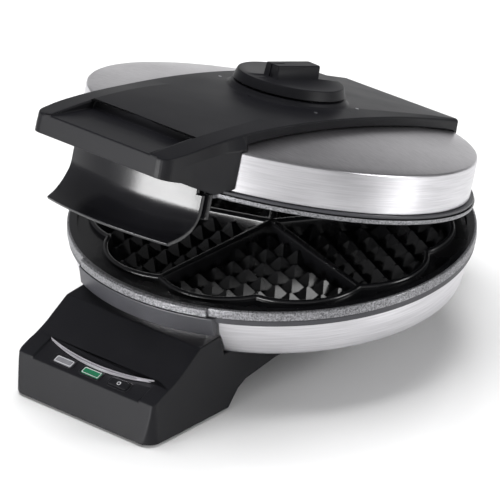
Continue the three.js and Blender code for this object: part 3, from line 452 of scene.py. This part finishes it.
# Brushing leaves strokes that catch the light as fine streaks and blur what the steel mirrors. Strokes
# of 0.5 mm are drawn at 0.7 mm so that they show; the clouds are wear and finger marks.
side_steel = surface("stainless_brushed_round", ("c2c1c4", "d6d5d8"), (0.27, 0.36), 0.7, 0.012, 60,
                     stretch=(0.03, 0.03, 1), coloured_by_grain=True, Metallic=1.0)
lid_side_steel = surface("stainless_brushed_round_lid", ("c2c1c4", "d6d5d8"), (0.27, 0.36), 0.7, 0.012, 60,
                         stretch=(0.03, 0.03, 1), tilt=-LID_TILT, coloured_by_grain=True, Metallic=1.0)
dome_steel = surface("stainless_brushed_straight", ("bcbabd", "d0ced1"), (0.3, 0.38), 0.7, 0.012, 60,
                     stretch=(0.03, 1, 1), tilt=-LID_TILT, coloured_by_grain=True, Metallic=1.0)


def cut_behind(piece, y):
    """Cuts the piece upright across its back at y and closes the cut."""
    only(piece)
    edit()
    bpy.ops.mesh.bisect(plane_co=(0, y, 0), plane_no=(0, 1, 0), use_fill=True, clear_outer=True)
    object_mode()
    return piece


lower_profile = [(97.5, SHELL_LOW_Z), *arc(97.9, 35.6, 2.7, -math.pi / 2, -0.42, 5)[1:], (101.6, 38.5),
                 (103.2, 44.6), (104, SHELL_HIGH_Z)]
lower_shell = lathe("lower_shell_pressing", [(0, SHELL_LOW_Z), *lower_profile, (0, SHELL_HIGH_Z)])
cut_behind(lower_shell, REAR_FLAT_Y)
inner_profile = [(r - SHELL_WALL, z + SHELL_WALL) for r, z in lower_profile]
inside = lathe("inside", [(0, SHELL_LOW_Z + SHELL_WALL), *inner_profile, (0, SHELL_HIGH_Z + SHELL_WALL)])
cut(lower_shell, cut_behind(inside, REAR_FLAT_Y - SHELL_WALL))
fit_out(smooth(lower_shell, 25), [side_steel], ON_BASE, "base", "shell_steel", "lower_shell")

LID_SHELL_R = 103.4
DOME_TOP_Z = 95
DOME_DROP = 8.4
LID_SHELL_LOW_Z = 66


def dome_z(r):
    """Height of the dome at a distance from its middle."""
    return DOME_TOP_Z - DOME_DROP * (r / LID_SHELL_R) ** 2


def domed_profile(low_z, offset):
    """Half section of the domed lid shell from its low edge to the middle, set out by an offset."""
    r = LID_SHELL_R + offset
    shoulder = 1.5
    edge_z = dome_z(LID_SHELL_R - shoulder) + offset - shoulder
    dome = [(at, dome_z(at) + offset) for at in range(96, 0, -8)]
    return [(0, low_z), (r, low_z), *arc(r - shoulder, edge_z, shoulder, 0, math.pi / 2 - 0.16, 6), *dome,
            (0, DOME_TOP_Z + offset)]


upper_shell = cut_behind(lathe("upper_shell_pressing", domed_profile(LID_SHELL_LOW_Z, 0)), REAR_FLAT_Y)
inside = lathe("inside", domed_profile(LID_SHELL_LOW_Z - 1, -SHELL_WALL))
cut(upper_shell, cut_behind(inside, REAR_FLAT_Y - SHELL_WALL))
for face in upper_shell.data.polygons:
    face.material_index = int(face.normal.z > 0.8)
fit_out(smooth(upper_shell, 25), [lid_side_steel, dome_steel], ON_LID, "lid", "shell_steel", "upper_shell")

# ---------------------------------------------------------------- insulating rings
# Dark grey heat-resistant plastic between each plate and its shell. In front the lower ring grows
# into a deep apron over the control box.

# Moulded with a fine matt skin, a shade lighter than the housing: a dark grey line between steel and rim.
ring_plastic = surface("grey_heat_resistant_plastic", ("303034", "3b3b40"), (0.38, 0.48), 0.6, 0.02, 30,
                       Specular_IOR_Level=0.5)

BOSS_HALF_W = 46
RING_BORE_R = 96


def ring_band(name, radius, low, high):
    """A band round the pan with a flat wall behind."""
    band = lathe(name, [(RING_BORE_R, low), (radius, low), (radius, high), (RING_BORE_R, high)])
    return cut_behind(band, REAR_FLAT_Y)


lower_ring = ring_band("lower_ring_moulding", 106.4, 52.1, 55.2)
apron = lathe("apron", [(104.6, 45), (107.6, 45), (BOSS_R, 55.2), (104.6, 55.2)])
boolean(apron, block("front", (-BOSS_HALF_W, -130, 0), (BOSS_HALF_W, -60, 110)), "INTERSECT")
boolean(lower_ring, apron, "UNION")
fit_out(soften(lower_ring, 0.5, 2, 30), [ring_plastic], ON_BASE, "base", "grey_plastic", "lower_ring")
upper_ring = ring_band("upper_ring_moulding", 105.6, 64, 65.6)
fit_out(soften(upper_ring, 0.3, 2, 30), [ring_plastic], ON_LID, "lid", "grey_plastic", "upper_ring")

# ---------------------------------------------------------------- baking plates
# Die-cast aluminium with a black non-stick coating: five hearts with a lattice of blunt pyramids, a
# rounded ridge round the hearts, a sunk deck and a raised rim. The rim's outside has the rough skin
# of the casting.

# A sprayed and baked coating: black, with a soft shine and small highlights on the pyramids' edges. The
# skin of the casting is pitted; its light and dark grey grains are partly that rough skin and partly painted
# glints.
coating = surface("non_stick_coating", ("0e0e10", "151517"), (0.2, 0.3), 0.5, 0.012, 25, IOR=1.4,
                  Coat_Weight=0.3, Coat_Roughness=0.1)
cast_skin = surface("cast_aluminium_skin", ("4e4e51", "a0a0a3"), (0.34, 0.46), 0.9, 0.12, 12,
                    coloured_by_grain=True, Metallic=0.75)

HEARTS = 5
HALF_HEART = math.pi / HEARTS
LOBE_CENTRE_R = 58.4
LOBE_R = 34.6
RIDGE_W = 3
RIB_W = 3
CAVITY_DEPTH = 9
DECK_DEPTH = 2.4
DECK_R = 101.8
PYRAMID_PITCH = 11.4
PYRAMID_BASE = 9.6
PYRAMID_TOP = 1.4
PYRAMID_H = 5.6
PYRAMID_ROWS = 11
FIRST_PYRAMID_R = 12
BODY_DEPTH = 12.2
lobe_x = LOBE_CENTRE_R * math.cos(HALF_HEART / 2)
lobe_y = LOBE_CENTRE_R * math.sin(HALF_HEART / 2)


def heart_points(offset):
    """A heart with its point near the middle: two arcs that meet in the cleft, and two straight sides."""
    r = LOBE_R + offset
    rib_side = lobe_y - RIB_W / 2 + offset
    cleft = math.atan2(-lobe_y, math.sqrt(r ** 2 - lobe_y ** 2))
    shoulder = HALF_HEART + math.atan2(rib_side, math.sqrt(r ** 2 - rib_side ** 2))
    return [*arc(lobe_x, -lobe_y, r, -shoulder, -cleft, 20),
            *arc(lobe_x, lobe_y, r, cleft, shoulder, 20)[1:],
            ((RIB_W / 2 - offset) / math.sin(HALF_HEART) + 1.5, 0)]


def lobed_points(offset):
    """The outline round all five hearts: ten arcs that meet in ten clefts."""
    r = LOBE_R + offset
    half = HALF_HEART / 2 + math.atan2(lobe_y, math.sqrt(r ** 2 - lobe_y ** 2))
    points = []
    for k in range(2 * HEARTS):
        middle = math.pi / 2 + HALF_HEART * (k + 0.5)
        points += arc(LOBE_CENTRE_R * math.cos(middle), LOBE_CENTRE_R * math.sin(middle), r,
                      middle - half, middle + half, 14)[:-1]
    return points


def joined(name, pieces):
    """Several objects as one."""
    bpy.ops.object.select_all(action="DESELECT")
    for piece in pieces:
        piece.select_set(True)
    bpy.context.view_layer.objects.active = pieces[0]
    bpy.ops.object.join()
    pieces[0].name = name
    return pieces[0]


def loft(name, levels):
    """A solid through closed outlines of equally many points, one for each height."""
    rings = [outline("ring", [(x, y, z) for x, y in [*points, points[0]]]) for points, z in levels]
    piece = joined(name, rings)
    only(piece)
    edit()
    bpy.ops.mesh.remove_doubles(threshold=0.002)
    bpy.ops.mesh.bridge_edge_loops()
    bpy.ops.mesh.select_all(action="SELECT")
    bpy.ops.mesh.fill_holes(sides=0)
    object_mode()
    return clean(piece)


def pyramid_places():
    """Where the pyramids of one heart stand: a square lattice, turned by 45 degrees."""
    step = PYRAMID_PITCH / math.sqrt(2)
    for row in range(PYRAMID_ROWS):
        for place in range(row + 1):
            u = FIRST_PYRAMID_R + step * row
            v = step * (2 * place - row)
            from_rib = u * math.sin(HALF_HEART) - abs(v) * math.cos(HALF_HEART)
            in_lobe = math.hypot(u - lobe_x, abs(v) - lobe_y) < LOBE_R - 1
            if from_rib > RIB_W and (u < lobe_x or in_lobe):
                yield u, v


def heart_hollows():
    """The five hollows under the parting plane at height 0, with the pyramids left standing."""
    heart = loft("heart", [(heart_points(offset), z) for offset, z in
                           ((-0.6, -CAVITY_DEPTH), (0, -1.1), (0.3, -0.4), (0.95, 0.02))])
    pyramids = []
    for u, v in pyramid_places():
        bpy.ops.object.select_all(action="DESELECT")
        bpy.ops.mesh.primitive_cone_add(vertices=4, radius1=PYRAMID_BASE / math.sqrt(2),
                                        radius2=PYRAMID_TOP / math.sqrt(2), depth=PYRAMID_H,
                                        location=(u, v, PYRAMID_H / 2 - CAVITY_DEPTH - 0.01))
        pyramids.append(bpy.context.object)
    cut(heart, joined("pyramids", pyramids))
    hearts = []
    for k in range(HEARTS):
        copy = heart.copy()
        copy.data = heart.data.copy()
        bpy.context.scene.collection.objects.link(copy)
        hearts.append(moved(copy, Matrix.Rotation(math.pi / 2 + 2 * HALF_HEART * k, 4, "Z")))
    bpy.data.objects.remove(heart)
    return joined("hollows", hearts)


def baking_plate(name, rim_r, rim_h):
    """A plate under its parting plane at height 0."""
    rim = [(0, -rim_h), (rim_r, -rim_h), *arc(rim_r - 1.2, -1.2, 1.2, 0, math.pi / 2, 4), (0, 0)]
    plate = cut_behind(lathe(name, rim), REAR_FLAT_Y)
    body = lathe("body", [(0, -BODY_DEPTH), (93.6, -BODY_DEPTH), (95.6, 2 - BODY_DEPTH), (95.6, -1),
                          (0, -1)], 96)
    boolean(plate, cut_behind(body, REAR_FLAT_Y - 4 - GAP), "UNION")
    boss = lathe("boss", [(90, -rim_h), (BOSS_R - 0.4, -rim_h), (BOSS_R, 0.5 - rim_h), (BOSS_R, -0.9),
                          (BOSS_R - 0.9, 0), (90, 0)])
    half_w = BOSS_HALF_W - 1
    ends = prism("ends", [(-half_w + 3, -90), (half_w - 3, -90), (half_w, -120), (-half_w, -120)], -40, 40)
    boolean(plate, boolean(boss, ends, "INTERSECT"), "UNION")
    deck = prism("deck", arc(0, 0, DECK_R, 0, 2 * math.pi, 144)[:-1], -DECK_DEPTH, 0.01)
    cut(deck, loft("ridge", [(lobed_points(RIDGE_W + offset), z) for offset, z in
                             ((0.2, -DECK_DEPTH - 0.5), (0, -1.1), (-0.3, -0.4), (-0.95, 0.03))]))
    cut(plate, cut_behind(deck, REAR_FLAT_Y - 3), heart_hollows())
    for face in plate.data.polygons:
        face.material_index = int(face.center.xy.length > rim_r - 1.3 or face.center.y > REAR_FLAT_Y - 0.1)
    return smooth(plate, 38)


PARTING_Z = 60.6
PLATE_GAP = 0.5
lower_plate = baking_plate("lower_plate_casting", 107, 5)
lower_place = ON_BASE @ Matrix.Translation((0, 0, PARTING_Z))
fit_out(lower_plate, [coating, cast_skin], lower_place, "base", "plate_cast", "lower_plate")
upper_plate = baking_plate("upper_plate_casting", 106.4, 2.5)
upper_place = ON_LID @ Matrix.Translation((0, 0, PARTING_Z + PLATE_GAP)) @ Matrix.Scale(-1, 4, (0, 0, 1))
fit_out(upper_plate, [coating, cast_skin], upper_place, "lid", "plate_cast", "upper_plate")
# The upper plate is drawn like the lower one and mirrored upside down, which can turn faces inwards, so
# they are set outwards again.
only(upper_plate)
edit()
bpy.ops.mesh.normals_make_consistent(inside=False)
object_mode()

# ---------------------------------------------------------------- bridge with the handle
# The second large PBT moulding: it runs from the handle over the lid to the hinge, with a hollow for
# the thumbs in front and a raised collar round the knob. A crease on each side parts its flat top
# from the sloping edge.
BRIDGE_FRONT_Y = -145
REAR_Y = 98.5
BRIDGE_CORNER_R = 6
CREASE_DROP = 1.1
BRIDGE_WALL = 3


def curve_along(knots):
    """A smooth curve through (y, value) knots, with the mean slope of its neighbours at each knot."""
    def slope(i):
        a, b = knots[max(i - 1, 0)], knots[min(i + 1, len(knots) - 1)]
        return (b[1] - a[1]) / (b[0] - a[0])

    def at(y):
        i = max(0, min(len(knots) - 2, sum(y >= knot[0] for knot in knots) - 1))
        (y0, v0), (y1, v1) = knots[i], knots[i + 1]
        span = y1 - y0
        t = (y - y0) / span
        return ((2 * t ** 3 - 3 * t ** 2 + 1) * v0 + (t ** 3 - 2 * t ** 2 + t) * span * slope(i)
                + (3 * t ** 2 - 2 * t ** 3) * v1 + (t ** 3 - t ** 2) * span * slope(i + 1))
    return at


# Along the bridge: its half width, the height of its top, where the crease runs, and how far the lower
# edge flares out.
bridge_half_w = curve_along([(-145, 44.6), (-128, 45.9), (-110, 45.2), (-80, 43.8), (0, 44), (50, 42.8),
                             (98.5, 39.8)])
bridge_top = curve_along([(-145, 84.3), (-112, 91.2), (-80, 95.8), (-40, 99.1), (0, 100.1), (40, 98.9),
                          (70, 96.4), (98.5, 93)])
bridge_crease = curve_along([(-145, 35), (-85, 34), (-55, 31), (-15, 27.5), (20, 32), (50, 37.5),
                             (98.5, 38.8)])
bridge_flare = curve_along([(-145, 0.3), (-118, 1), (-104, 2.4), (-92, 5), (-86, 5.4), (-84, 0.4),
                            (98.5, 0.2)])
# The stations stand close together round the front edge and then every 3 mm.
stations = [BRIDGE_FRONT_Y + BRIDGE_CORNER_R * (1 - math.cos(i * math.pi / 16)) for i in range(1, 9)]
stations += [BRIDGE_FRONT_Y + BRIDGE_CORNER_R + 3 * i for i in range(1, 79)]


def bridge_form(name, inset, low_z):
    """The bridge's outer form, or the hollow inside it: a bar cut at each station, pulled to the curves."""
    form = block(name, (-1, BRIDGE_FRONT_Y, -1), (1, REAR_Y, 1))
    only(form)
    edit()
    planes = [((0, y, 0), (0, 1, 0)) for y in stations]
    planes += [((x, 0, 0), (1, 0, 0)) for x in (-0.5, 0, 0.5)] + [((0, 0, 0), (0, 0, 1))]
    for place, normal in planes:
        bpy.ops.mesh.select_all(action="SELECT")
        bpy.ops.mesh.bisect(plane_co=place, plane_no=normal)
    object_mode()
    # Across the bar u runs from -1 to 1, with the crease at a half; level is -1 at the lower edge, 0 on
    # the side and 1 on top. The front edge is rounded over its first millimetres.
    for corner in form.data.vertices:
        u, y, level = corner.co.x, corner.co.y, round(corner.co.z)
        into = max(0.0, BRIDGE_CORNER_R - (y - BRIDGE_FRONT_Y))
        half_w = bridge_half_w(y) - (BRIDGE_CORNER_R - math.sqrt(BRIDGE_CORNER_R ** 2 - into ** 2))
        top = bridge_top(y) - inset
        x = half_w + (bridge_flare(y) if level < 1 else 0)
        if abs(u) < 0.75:
            x = min(bridge_crease(y), half_w - 1) * abs(u) * 2
        edge = top - (CREASE_DROP if abs(u) > 0.75 else 0)
        z = (low_z, top - CREASE_DROP - 6, edge)[level + 1]
        x = math.copysign(max(x - inset, 0), u)
        corner.co = (x, max(BRIDGE_FRONT_Y + inset, min(REAR_Y - inset, y)), z)
    return clean(form)


bridge = bridge_form("bridge_moulding", 0, 60)
bridge_side = prism_across("side", [(-150, 120), (-150, 73.3), (BRIDGE_FRONT_Y, 73.1), (-128, 71.1),
                                    (-125, 69.8), (-104, 64.1), (-87, 68), (-87, 82), (110, 82), (110, 120)],
                           -60, 60)
boolean(bridge, bridge_side, "INTERSECT")
hollow = bridge_form("hollow", BRIDGE_WALL, 70)
boolean(hollow, block("under", (-60, -84, 80), (60, 92, 120)), "INTERSECT")
cut(bridge, hollow)
COLLAR_R = 31.5
collar = lathe("collar", [(0, 97), (COLLAR_R + 5, 97), (COLLAR_R + 5, 98.2), (COLLAR_R + 2.6, 98.9),
                          (COLLAR_R + 0.9, 99.8), (COLLAR_R - 0.4, 101), (COLLAR_R - 1.2, 102.2),
                          (COLLAR_R - 1.8, 102.6), (0, 102.6)], 96)
boolean(bridge, collar, "UNION")
# Cut away: the room of the lid and the ring, the pocket of the two sheets, the hollow for the thumbs and
# the slots of the hinge bracket.
clearance = cut_behind(lathe("clearance", domed_profile(60, GAP)), REAR_FLAT_Y + GAP)
rim_clearance = lathe("rim", [(0, 55), (BOSS_R + GAP, 55), (BOSS_R + GAP, LID_SHELL_LOW_Z),
                              (0, LID_SHELL_LOW_Z)])
cut(bridge, clearance, rim_clearance,
    block("pocket", (-41.4, -123, 60), (41.4, -100, 74)),
    prism_across("thumbs", [(-149, 83.35), (-113.2, 86.4), (-111, 97), (-149, 97)], -33.5, 33.5),
    block("bracket", (-22.4, 90, 80), (22.4, 97.8, 90.8)),
    block("slot_right", (13.2, 90, 80), (22.4, 110, 90.8)),
    block("slot_left", (-22.4, 90, 80), (-13.2, 110, 90.8)))
fit_out(soften(bridge, 0.7, 3, 24, 5), [grained_pbt], ON_LID, "lid", "black_plastic", "lid_bridge")

# ---------------------------------------------------------------- grip shield and heat guard
# Two curved sheets of black PBT that hang behind the handle: the shield flares forwards into a lip
# under the fingers, the guard behind it stands straight.

# A polished mould leaves almost no grain, so they shine more than the housing and show a clear highlight.
shield_pbt = surface("smooth_black_pbt", ("101013", "18181b"), (0.2, 0.27), 0.8, 0.02, 35,
                     Specular_IOR_Level=0.5)
# Turns what is drawn flat: its y becomes z, and its height runs forwards.
LENGTHWAYS = Matrix(((1, 0, 0, 0), (0, 0, -1, 0), (0, 1, 0, 0), (0, 0, 0, 1)))
SHIELD_TOP_Z = 73
shield_face = curve_along([(36.6, 132), (39.4, 126), (44.4, 120.4), (50, 117), (55, 116),
                           (SHIELD_TOP_Z, 116)])
shield_back = curve_along([(38.2, 133), (41, 127.4), (45.6, 122.2), (50.8, 119), (55.4, 118),
                           (SHIELD_TOP_Z, 118)])


def sheet(name, profile):
    """A lathed sheet cut to its narrower top, its sides and the rounded plan of the lip."""
    piece = lathe(name, profile, 180)
    sides = prism("sides", [(-41, 90), (-41, 63.4), (-44, 63.4), (-44, 30), (44, 30), (44, 63.4), (41, 63.4),
                            (41, 90)], 60, 150)
    moved(sides, LENGTHWAYS)
    plan = prism("plan", [(-44, -60), (-44, -112), *arc(-37, -124.6, 4.4, math.pi * 1.1, math.pi * 1.4, 6),
                          (-32, -140), (32, -140), *arc(37, -124.6, 4.4, math.pi * 1.6, math.pi * 1.9, 6),
                          (44, -112), (44, -60)], 20, 100)
    return boolean(boolean(piece, sides, "INTERSECT"), plan, "INTERSECT")


face_heights = [36.6 + 0.9 * i for i in range(21)] + [SHIELD_TOP_Z]
back_heights = [SHIELD_TOP_Z] + [38.2 + 0.9 * i for i in range(20, -1, -1)]
shield = sheet("grip_shield_moulding", [(shield_face(z), z) for z in face_heights]
               + [(shield_back(z), z) for z in back_heights])
fit_out(soften(shield, 0.45, 3, 40), [shield_pbt], ON_LID, "lid", "dark_plastic", "grip_shield")
guard = sheet("heat_guard_moulding", [(110.4, SHIELD_TOP_Z), (110.4, 50), (112.2, 50),
                                      (112.2, SHIELD_TOP_Z)])
fit_out(soften(guard, 0.35, 2, 40), [shield_pbt], ON_LID, "lid", "dark_plastic", "heat_guard")

# ---------------------------------------------------------------- temperature knob
# A low cone-sided disc of black PBT with a tapered bar to hold it by, a groove in the bar's front end
# as the index, and four silver marks hot-stamped on the bridge round the collar.
KNOB_LOW_Z = 103.4
KNOB_TOP_Z = 108.7
BAR_TOP_Z = 115.6
BAR_HALF_L = 15.6
BAR_TURN = math.radians(-6.5)


def rounded(half_w, half_h, r, x=0, y=0):
    """A rectangle with round corners, around a middle."""
    corners = ((1, 1, 0), (-1, 1, 1), (-1, -1, 2), (1, -1, 3))
    return [point for sx, sy, k in corners for point in
            arc(x + sx * (half_w - r), y + sy * (half_h - r), r, k * math.pi / 2, (k + 1) * math.pi / 2, 5)]


knob = lathe("knob_moulding", [(0, KNOB_LOW_Z), (29.3, KNOB_LOW_Z), (29.7, KNOB_LOW_Z + 0.4),
                               (28.3, KNOB_TOP_Z - 0.7),
                               *arc(27.5, KNOB_TOP_Z - 0.8, 0.8, 0.2, math.pi / 2, 4),
                               (0, KNOB_TOP_Z)], 96)
bar = prism("bar", rounded(5.6, BAR_HALF_L, 1.4), KNOB_TOP_Z - 1, BAR_TOP_Z)
for corner in bar.data.vertices:
    corner.co.x *= 0.86 if corner.co.z > KNOB_TOP_Z else 1
soften(bar, 0.7, 3, 50, 30)
cut(bar, block("groove", (-0.6, -BAR_HALF_L - 1, KNOB_TOP_Z), (0.6, 0.5 - BAR_HALF_L, BAR_TOP_Z + 1)),
    block("groove", (-0.6, -BAR_HALF_L - 1, BAR_TOP_Z - 0.5), (0.6, 9 - BAR_HALF_L, BAR_TOP_Z + 1)))
boolean(knob, moved(bar, Matrix.Rotation(BAR_TURN, 4, "Z")), "UNION")
fit_out(smooth(knob, 30), [grained_pbt], ON_LID, "knob", "black_plastic", "temperature_knob")

# Hot-stamped foil: a thin metallic film pressed into the plastic, which glints as small silver dots.
silver_foil = surface("hot_stamped_silver_foil", ("a9a9ad", "c4c4c8"), (0.3, 0.4), 0.8, 0.01, 10,
                      Metallic=0.9)
MARK_R = 37
for number, degrees in enumerate((-155, -27, 31, 149), 1):
    x = MARK_R * math.cos(math.radians(degrees))
    y = MARK_R * math.sin(math.radians(degrees))
    drop = CREASE_DROP * max(0, (abs(x) - bridge_crease(y)) / (bridge_half_w(y) - bridge_crease(y)))
    top = bridge_top(y) - drop
    mark = prism(f"knob_mark_{number}", arc(x, y, 0.9, 0, 2 * math.pi, 16)[:-1], top - 0.6, top + 0.12)
    fit_out(smooth(mark, 40), [silver_foil], ON_LID, "lid", "trim_silver")

# ---------------------------------------------------------------- control panel
# A silver crescent along the step, two lamp windows and a button in thin raised frames, all of them
# moulded pieces set into the housing. They are drawn in the panel's own tilted frame.
ON_PANEL = ON_BASE @ PANEL

# Satin chrome plating on plastic: a bright soft-edged line.
satin_chrome = surface("satin_chrome_plate", ("c4c2c8", "d6d3d9"), (0.3, 0.4), 0.8, 0.004, 20, Metallic=0.6)
trim = prism("panel_trim_inlay", bow(PANEL_HALF_W - 1, ARC_END_Y - 0.62, ARC_MID_Y - GAP)
             + bow(PANEL_HALF_W - 1.3, ARC_END_Y - 1.05, ARC_MID_Y - 2.2)[::-1], GAP, 2.1)
cut(trim, prism("groove", bow(PANEL_HALF_W - 4, ARC_END_Y - 2.2, ARC_MID_Y - 0.95)
                + bow(PANEL_HALF_W - 4, ARC_END_Y - 2.3, ARC_MID_Y - 1.65)[::-1], 1.2, 3))
fit_out(smooth(trim, 30), [satin_chrome], ON_PANEL, "base", "trim_silver", "panel_trim")

# Tinted polycarbonate from a polished mould: smooth and glossy, and the green one glows a little from
# the lamp behind it. The print is flat light grey ink without shine.
grey_window = surface("smoked_polycarbonate_window", ("66666a", "7c7c80"), (0.12, 0.2), 0.9, 0.006, 6,
                      IOR=1.58, Coat_Weight=0.6)
green_window = surface("green_polycarbonate_window", ("084a31", "0d6243"), (0.12, 0.2), 0.9, 0.006, 6,
                       IOR=1.58, Coat_Weight=0.6, Emission_Color=linear("1a9a62"), Emission_Strength=0.12)
white_print = surface("pad_printed_light_grey", ("b5b5b8", "c6c6c9"), (0.45, 0.55), 0.5, 0.004, 10)
for name, x, material, slot, node, top in (
        ("heating_window_lens", LAMPS_X["heating"], grey_window, "lens_grey", "heating_lamp_window", 0.4),
        ("ready_window_lens", LAMPS_X["ready"], green_window, "lens_green", "ready_lamp_window", 0.4),
        ("sound_button_cap", LAMPS_X["button"], grained_pbt, "dark_plastic", "sound_button", 1)):
    lens = prism(name, rounded(LAMP_HALF_W, LAMP_HALF_H, 0.9, x, LAMP_Y), -4.5, top)
    body = "button" if node == "sound_button" else "base"
    fit_out(soften(lens, 0.3, 3, 40), [material], ON_PANEL, body, slot, node)
    frame_ring = prism(name + "_frame", rounded(LAMP_HALF_W + 1.3, LAMP_HALF_H + 1.2, 1.9, x, LAMP_Y),
                       -0.3, 0.35)
    cut(frame_ring, prism("opening", rounded(LAMP_HALF_W + 0.15, LAMP_HALF_H + 0.15, 1, x, LAMP_Y), -1, 1))
    fit_out(soften(frame_ring, 0.15, 2, 40), [shield_pbt], ON_PANEL, "base", "black_plastic")
    if body == "base":
        line = prism(name + "_line", rounded(LAMP_HALF_W - 0.4, LAMP_HALF_H - 0.4, 0.7, x, LAMP_Y),
                     top - 0.1, top + 0.05)
        cut(line, prism("opening", rounded(LAMP_HALF_W - 0.75, LAMP_HALF_H - 0.75, 0.5, x, LAMP_Y), 0, 1))
        fit_out(smooth(line, 40), [white_print], ON_PANEL, body, slot)
icon = lathe("sound_button_icon", [(0.75, 0.95), (1.15, 0.95), (1.15, 1.04), (0.75, 1.04)], 32)
moved(icon, Matrix.Translation((LAMPS_X["button"], LAMP_Y, 0)))
fit_out(smooth(icon, 30), [white_print], ON_PANEL, "button", "dark_plastic")

# ---------------------------------------------------------------- hinge, covers, feet and fasteners
# Stamped and turned steel, moulded covers and rubber feet, screwed or pressed into the housing. They
# keep the frame's form; their edges are rounded as stamping, moulding and turning leave them.
HERE = Matrix.Identity(4)

# Zinc plating is a cool grey with a dull shine. The covers come from a plain mould without the eroded
# grain and are matt black, and the rubber has hardly any shine at all.
zinc = surface("zinc_plated_steel", ("9da0a2", "b6b8ba"), (0.3, 0.42), 0.6, 0.008, 14, Metallic=1.0)
plain_pbt = surface("plain_black_pbt", ("161617", "1e1d1f"), (0.45, 0.55), 0.7, 0.02, 30)
rubber = surface("foot_rubber", ("1b1b1b", "262626"), (0.75, 0.9), 0.5, 0.02, 12)


def cad_copy(name, node):
    """A copy of a CAD node with its corners merged and its flat faces whole, in metres and in place."""
    piece = bpy.data.objects.new(name, frame["nodes"][node].data.copy())
    bpy.context.scene.collection.objects.link(piece)
    only(piece)
    edit()
    bpy.ops.mesh.customdata_custom_splitnormals_clear()
    bpy.ops.mesh.remove_doubles(threshold=0.00002)
    bpy.ops.mesh.dissolve_limited(angle_limit=math.radians(0.6))
    object_mode()
    return piece


for name, material, slot in (
        ("hinge_bracket", zinc, "zinc_steel"), ("hinge_pin_left", zinc, "zinc_steel"),
        ("hinge_pin_right", zinc, "zinc_steel"), ("cord_gland", plain_pbt, "dark_plastic"),
        ("front_base_cover", plain_pbt, "dark_plastic"), ("rear_base_cover", plain_pbt, "dark_plastic"),
        ("channel_cover", plain_pbt, "dark_plastic"),
        *[(f"foot_{place}", rubber, "foot_rubber")
          for place in ("front_left", "front_right", "rear_left", "rear_right")],
        *[(f"cover_screw_{i}", zinc, "zinc_steel") for i in (1, 2, 3, 4)]):
    piece = soften(cad_copy(name + "_finished", name), 0.00025, 2, 35)
    fit_out(piece, [material], HERE, "lid" if name == "hinge_bracket" else "base", slot, name)

# ---------------------------------------------------------------- inner pieces
# Hidden inside the housings, screwed or clipped in place: their plain CAD form stays, with the material
# of the real piece.

# Heater tubes are oxidised dull brown, the reflectors are bright aluminised sheet, and the ceramic is
# fired unglazed and matt. The board has a glossy green solder mask, the lamps' epoxy is smooth, and
# the lead's silicone sleeve is dull.
incoloy = surface("oxidised_heater_tube", ("4f4a45", "6f685f"), (0.4, 0.55), 0.6, 0.01, 20, Metallic=1.0)
reflector_metal = surface("aluminised_sheet", ("a8a9ab", "c0c1c3"), (0.25, 0.4), 0.8, 0.01, 30, Metallic=1.0)
steatite = surface("steatite_ceramic", ("cfc8b8", "e0dac9"), (0.5, 0.65), 0.7, 0.01, 15)
fr4 = surface("green_circuit_board", ("1f4f2c", "2c6439"), (0.3, 0.4), 1.2, 0.01, 8, Coat_Weight=0.3)
epoxy_clear = surface("clear_led_epoxy", ("c8c8cc", "d6d6da"), (0.08, 0.14), 1.0, 0.004, 5, IOR=1.54)
epoxy_green = surface("green_led_epoxy", ("2f9a5a", "43b06f"), (0.08, 0.14), 1.0, 0.004, 5, IOR=1.54)
silicone = surface("silicone_lead_sleeve", ("b9b4a6", "cac5b8"), (0.55, 0.7), 0.5, 0.02, 9)
for material, names in (
        (incoloy, ("lower_heater", "upper_heater")),
        (reflector_metal, ("lower_reflector", "upper_reflector")),
        (steatite, ("thermostat", "terminal_block")),
        (zinc, ("thermal_fuse", "knob_spindle", "pan_screw_left", "pan_screw_right", "bridge_screw_front",
                "bridge_screw_rear", "board_screw_left", "board_screw_right")),
        (fr4, ("circuit_board",)),
        (epoxy_clear, ("heating_led",)),
        (epoxy_green, ("ready_led",)),
        (plain_pbt, ("button_switch", "buzzer")),
        (silicone, ("supply_lead",))):
    for name in names:
        node = frame["nodes"][name]
        node.data.materials.clear()
        node.data.materials.append(material)
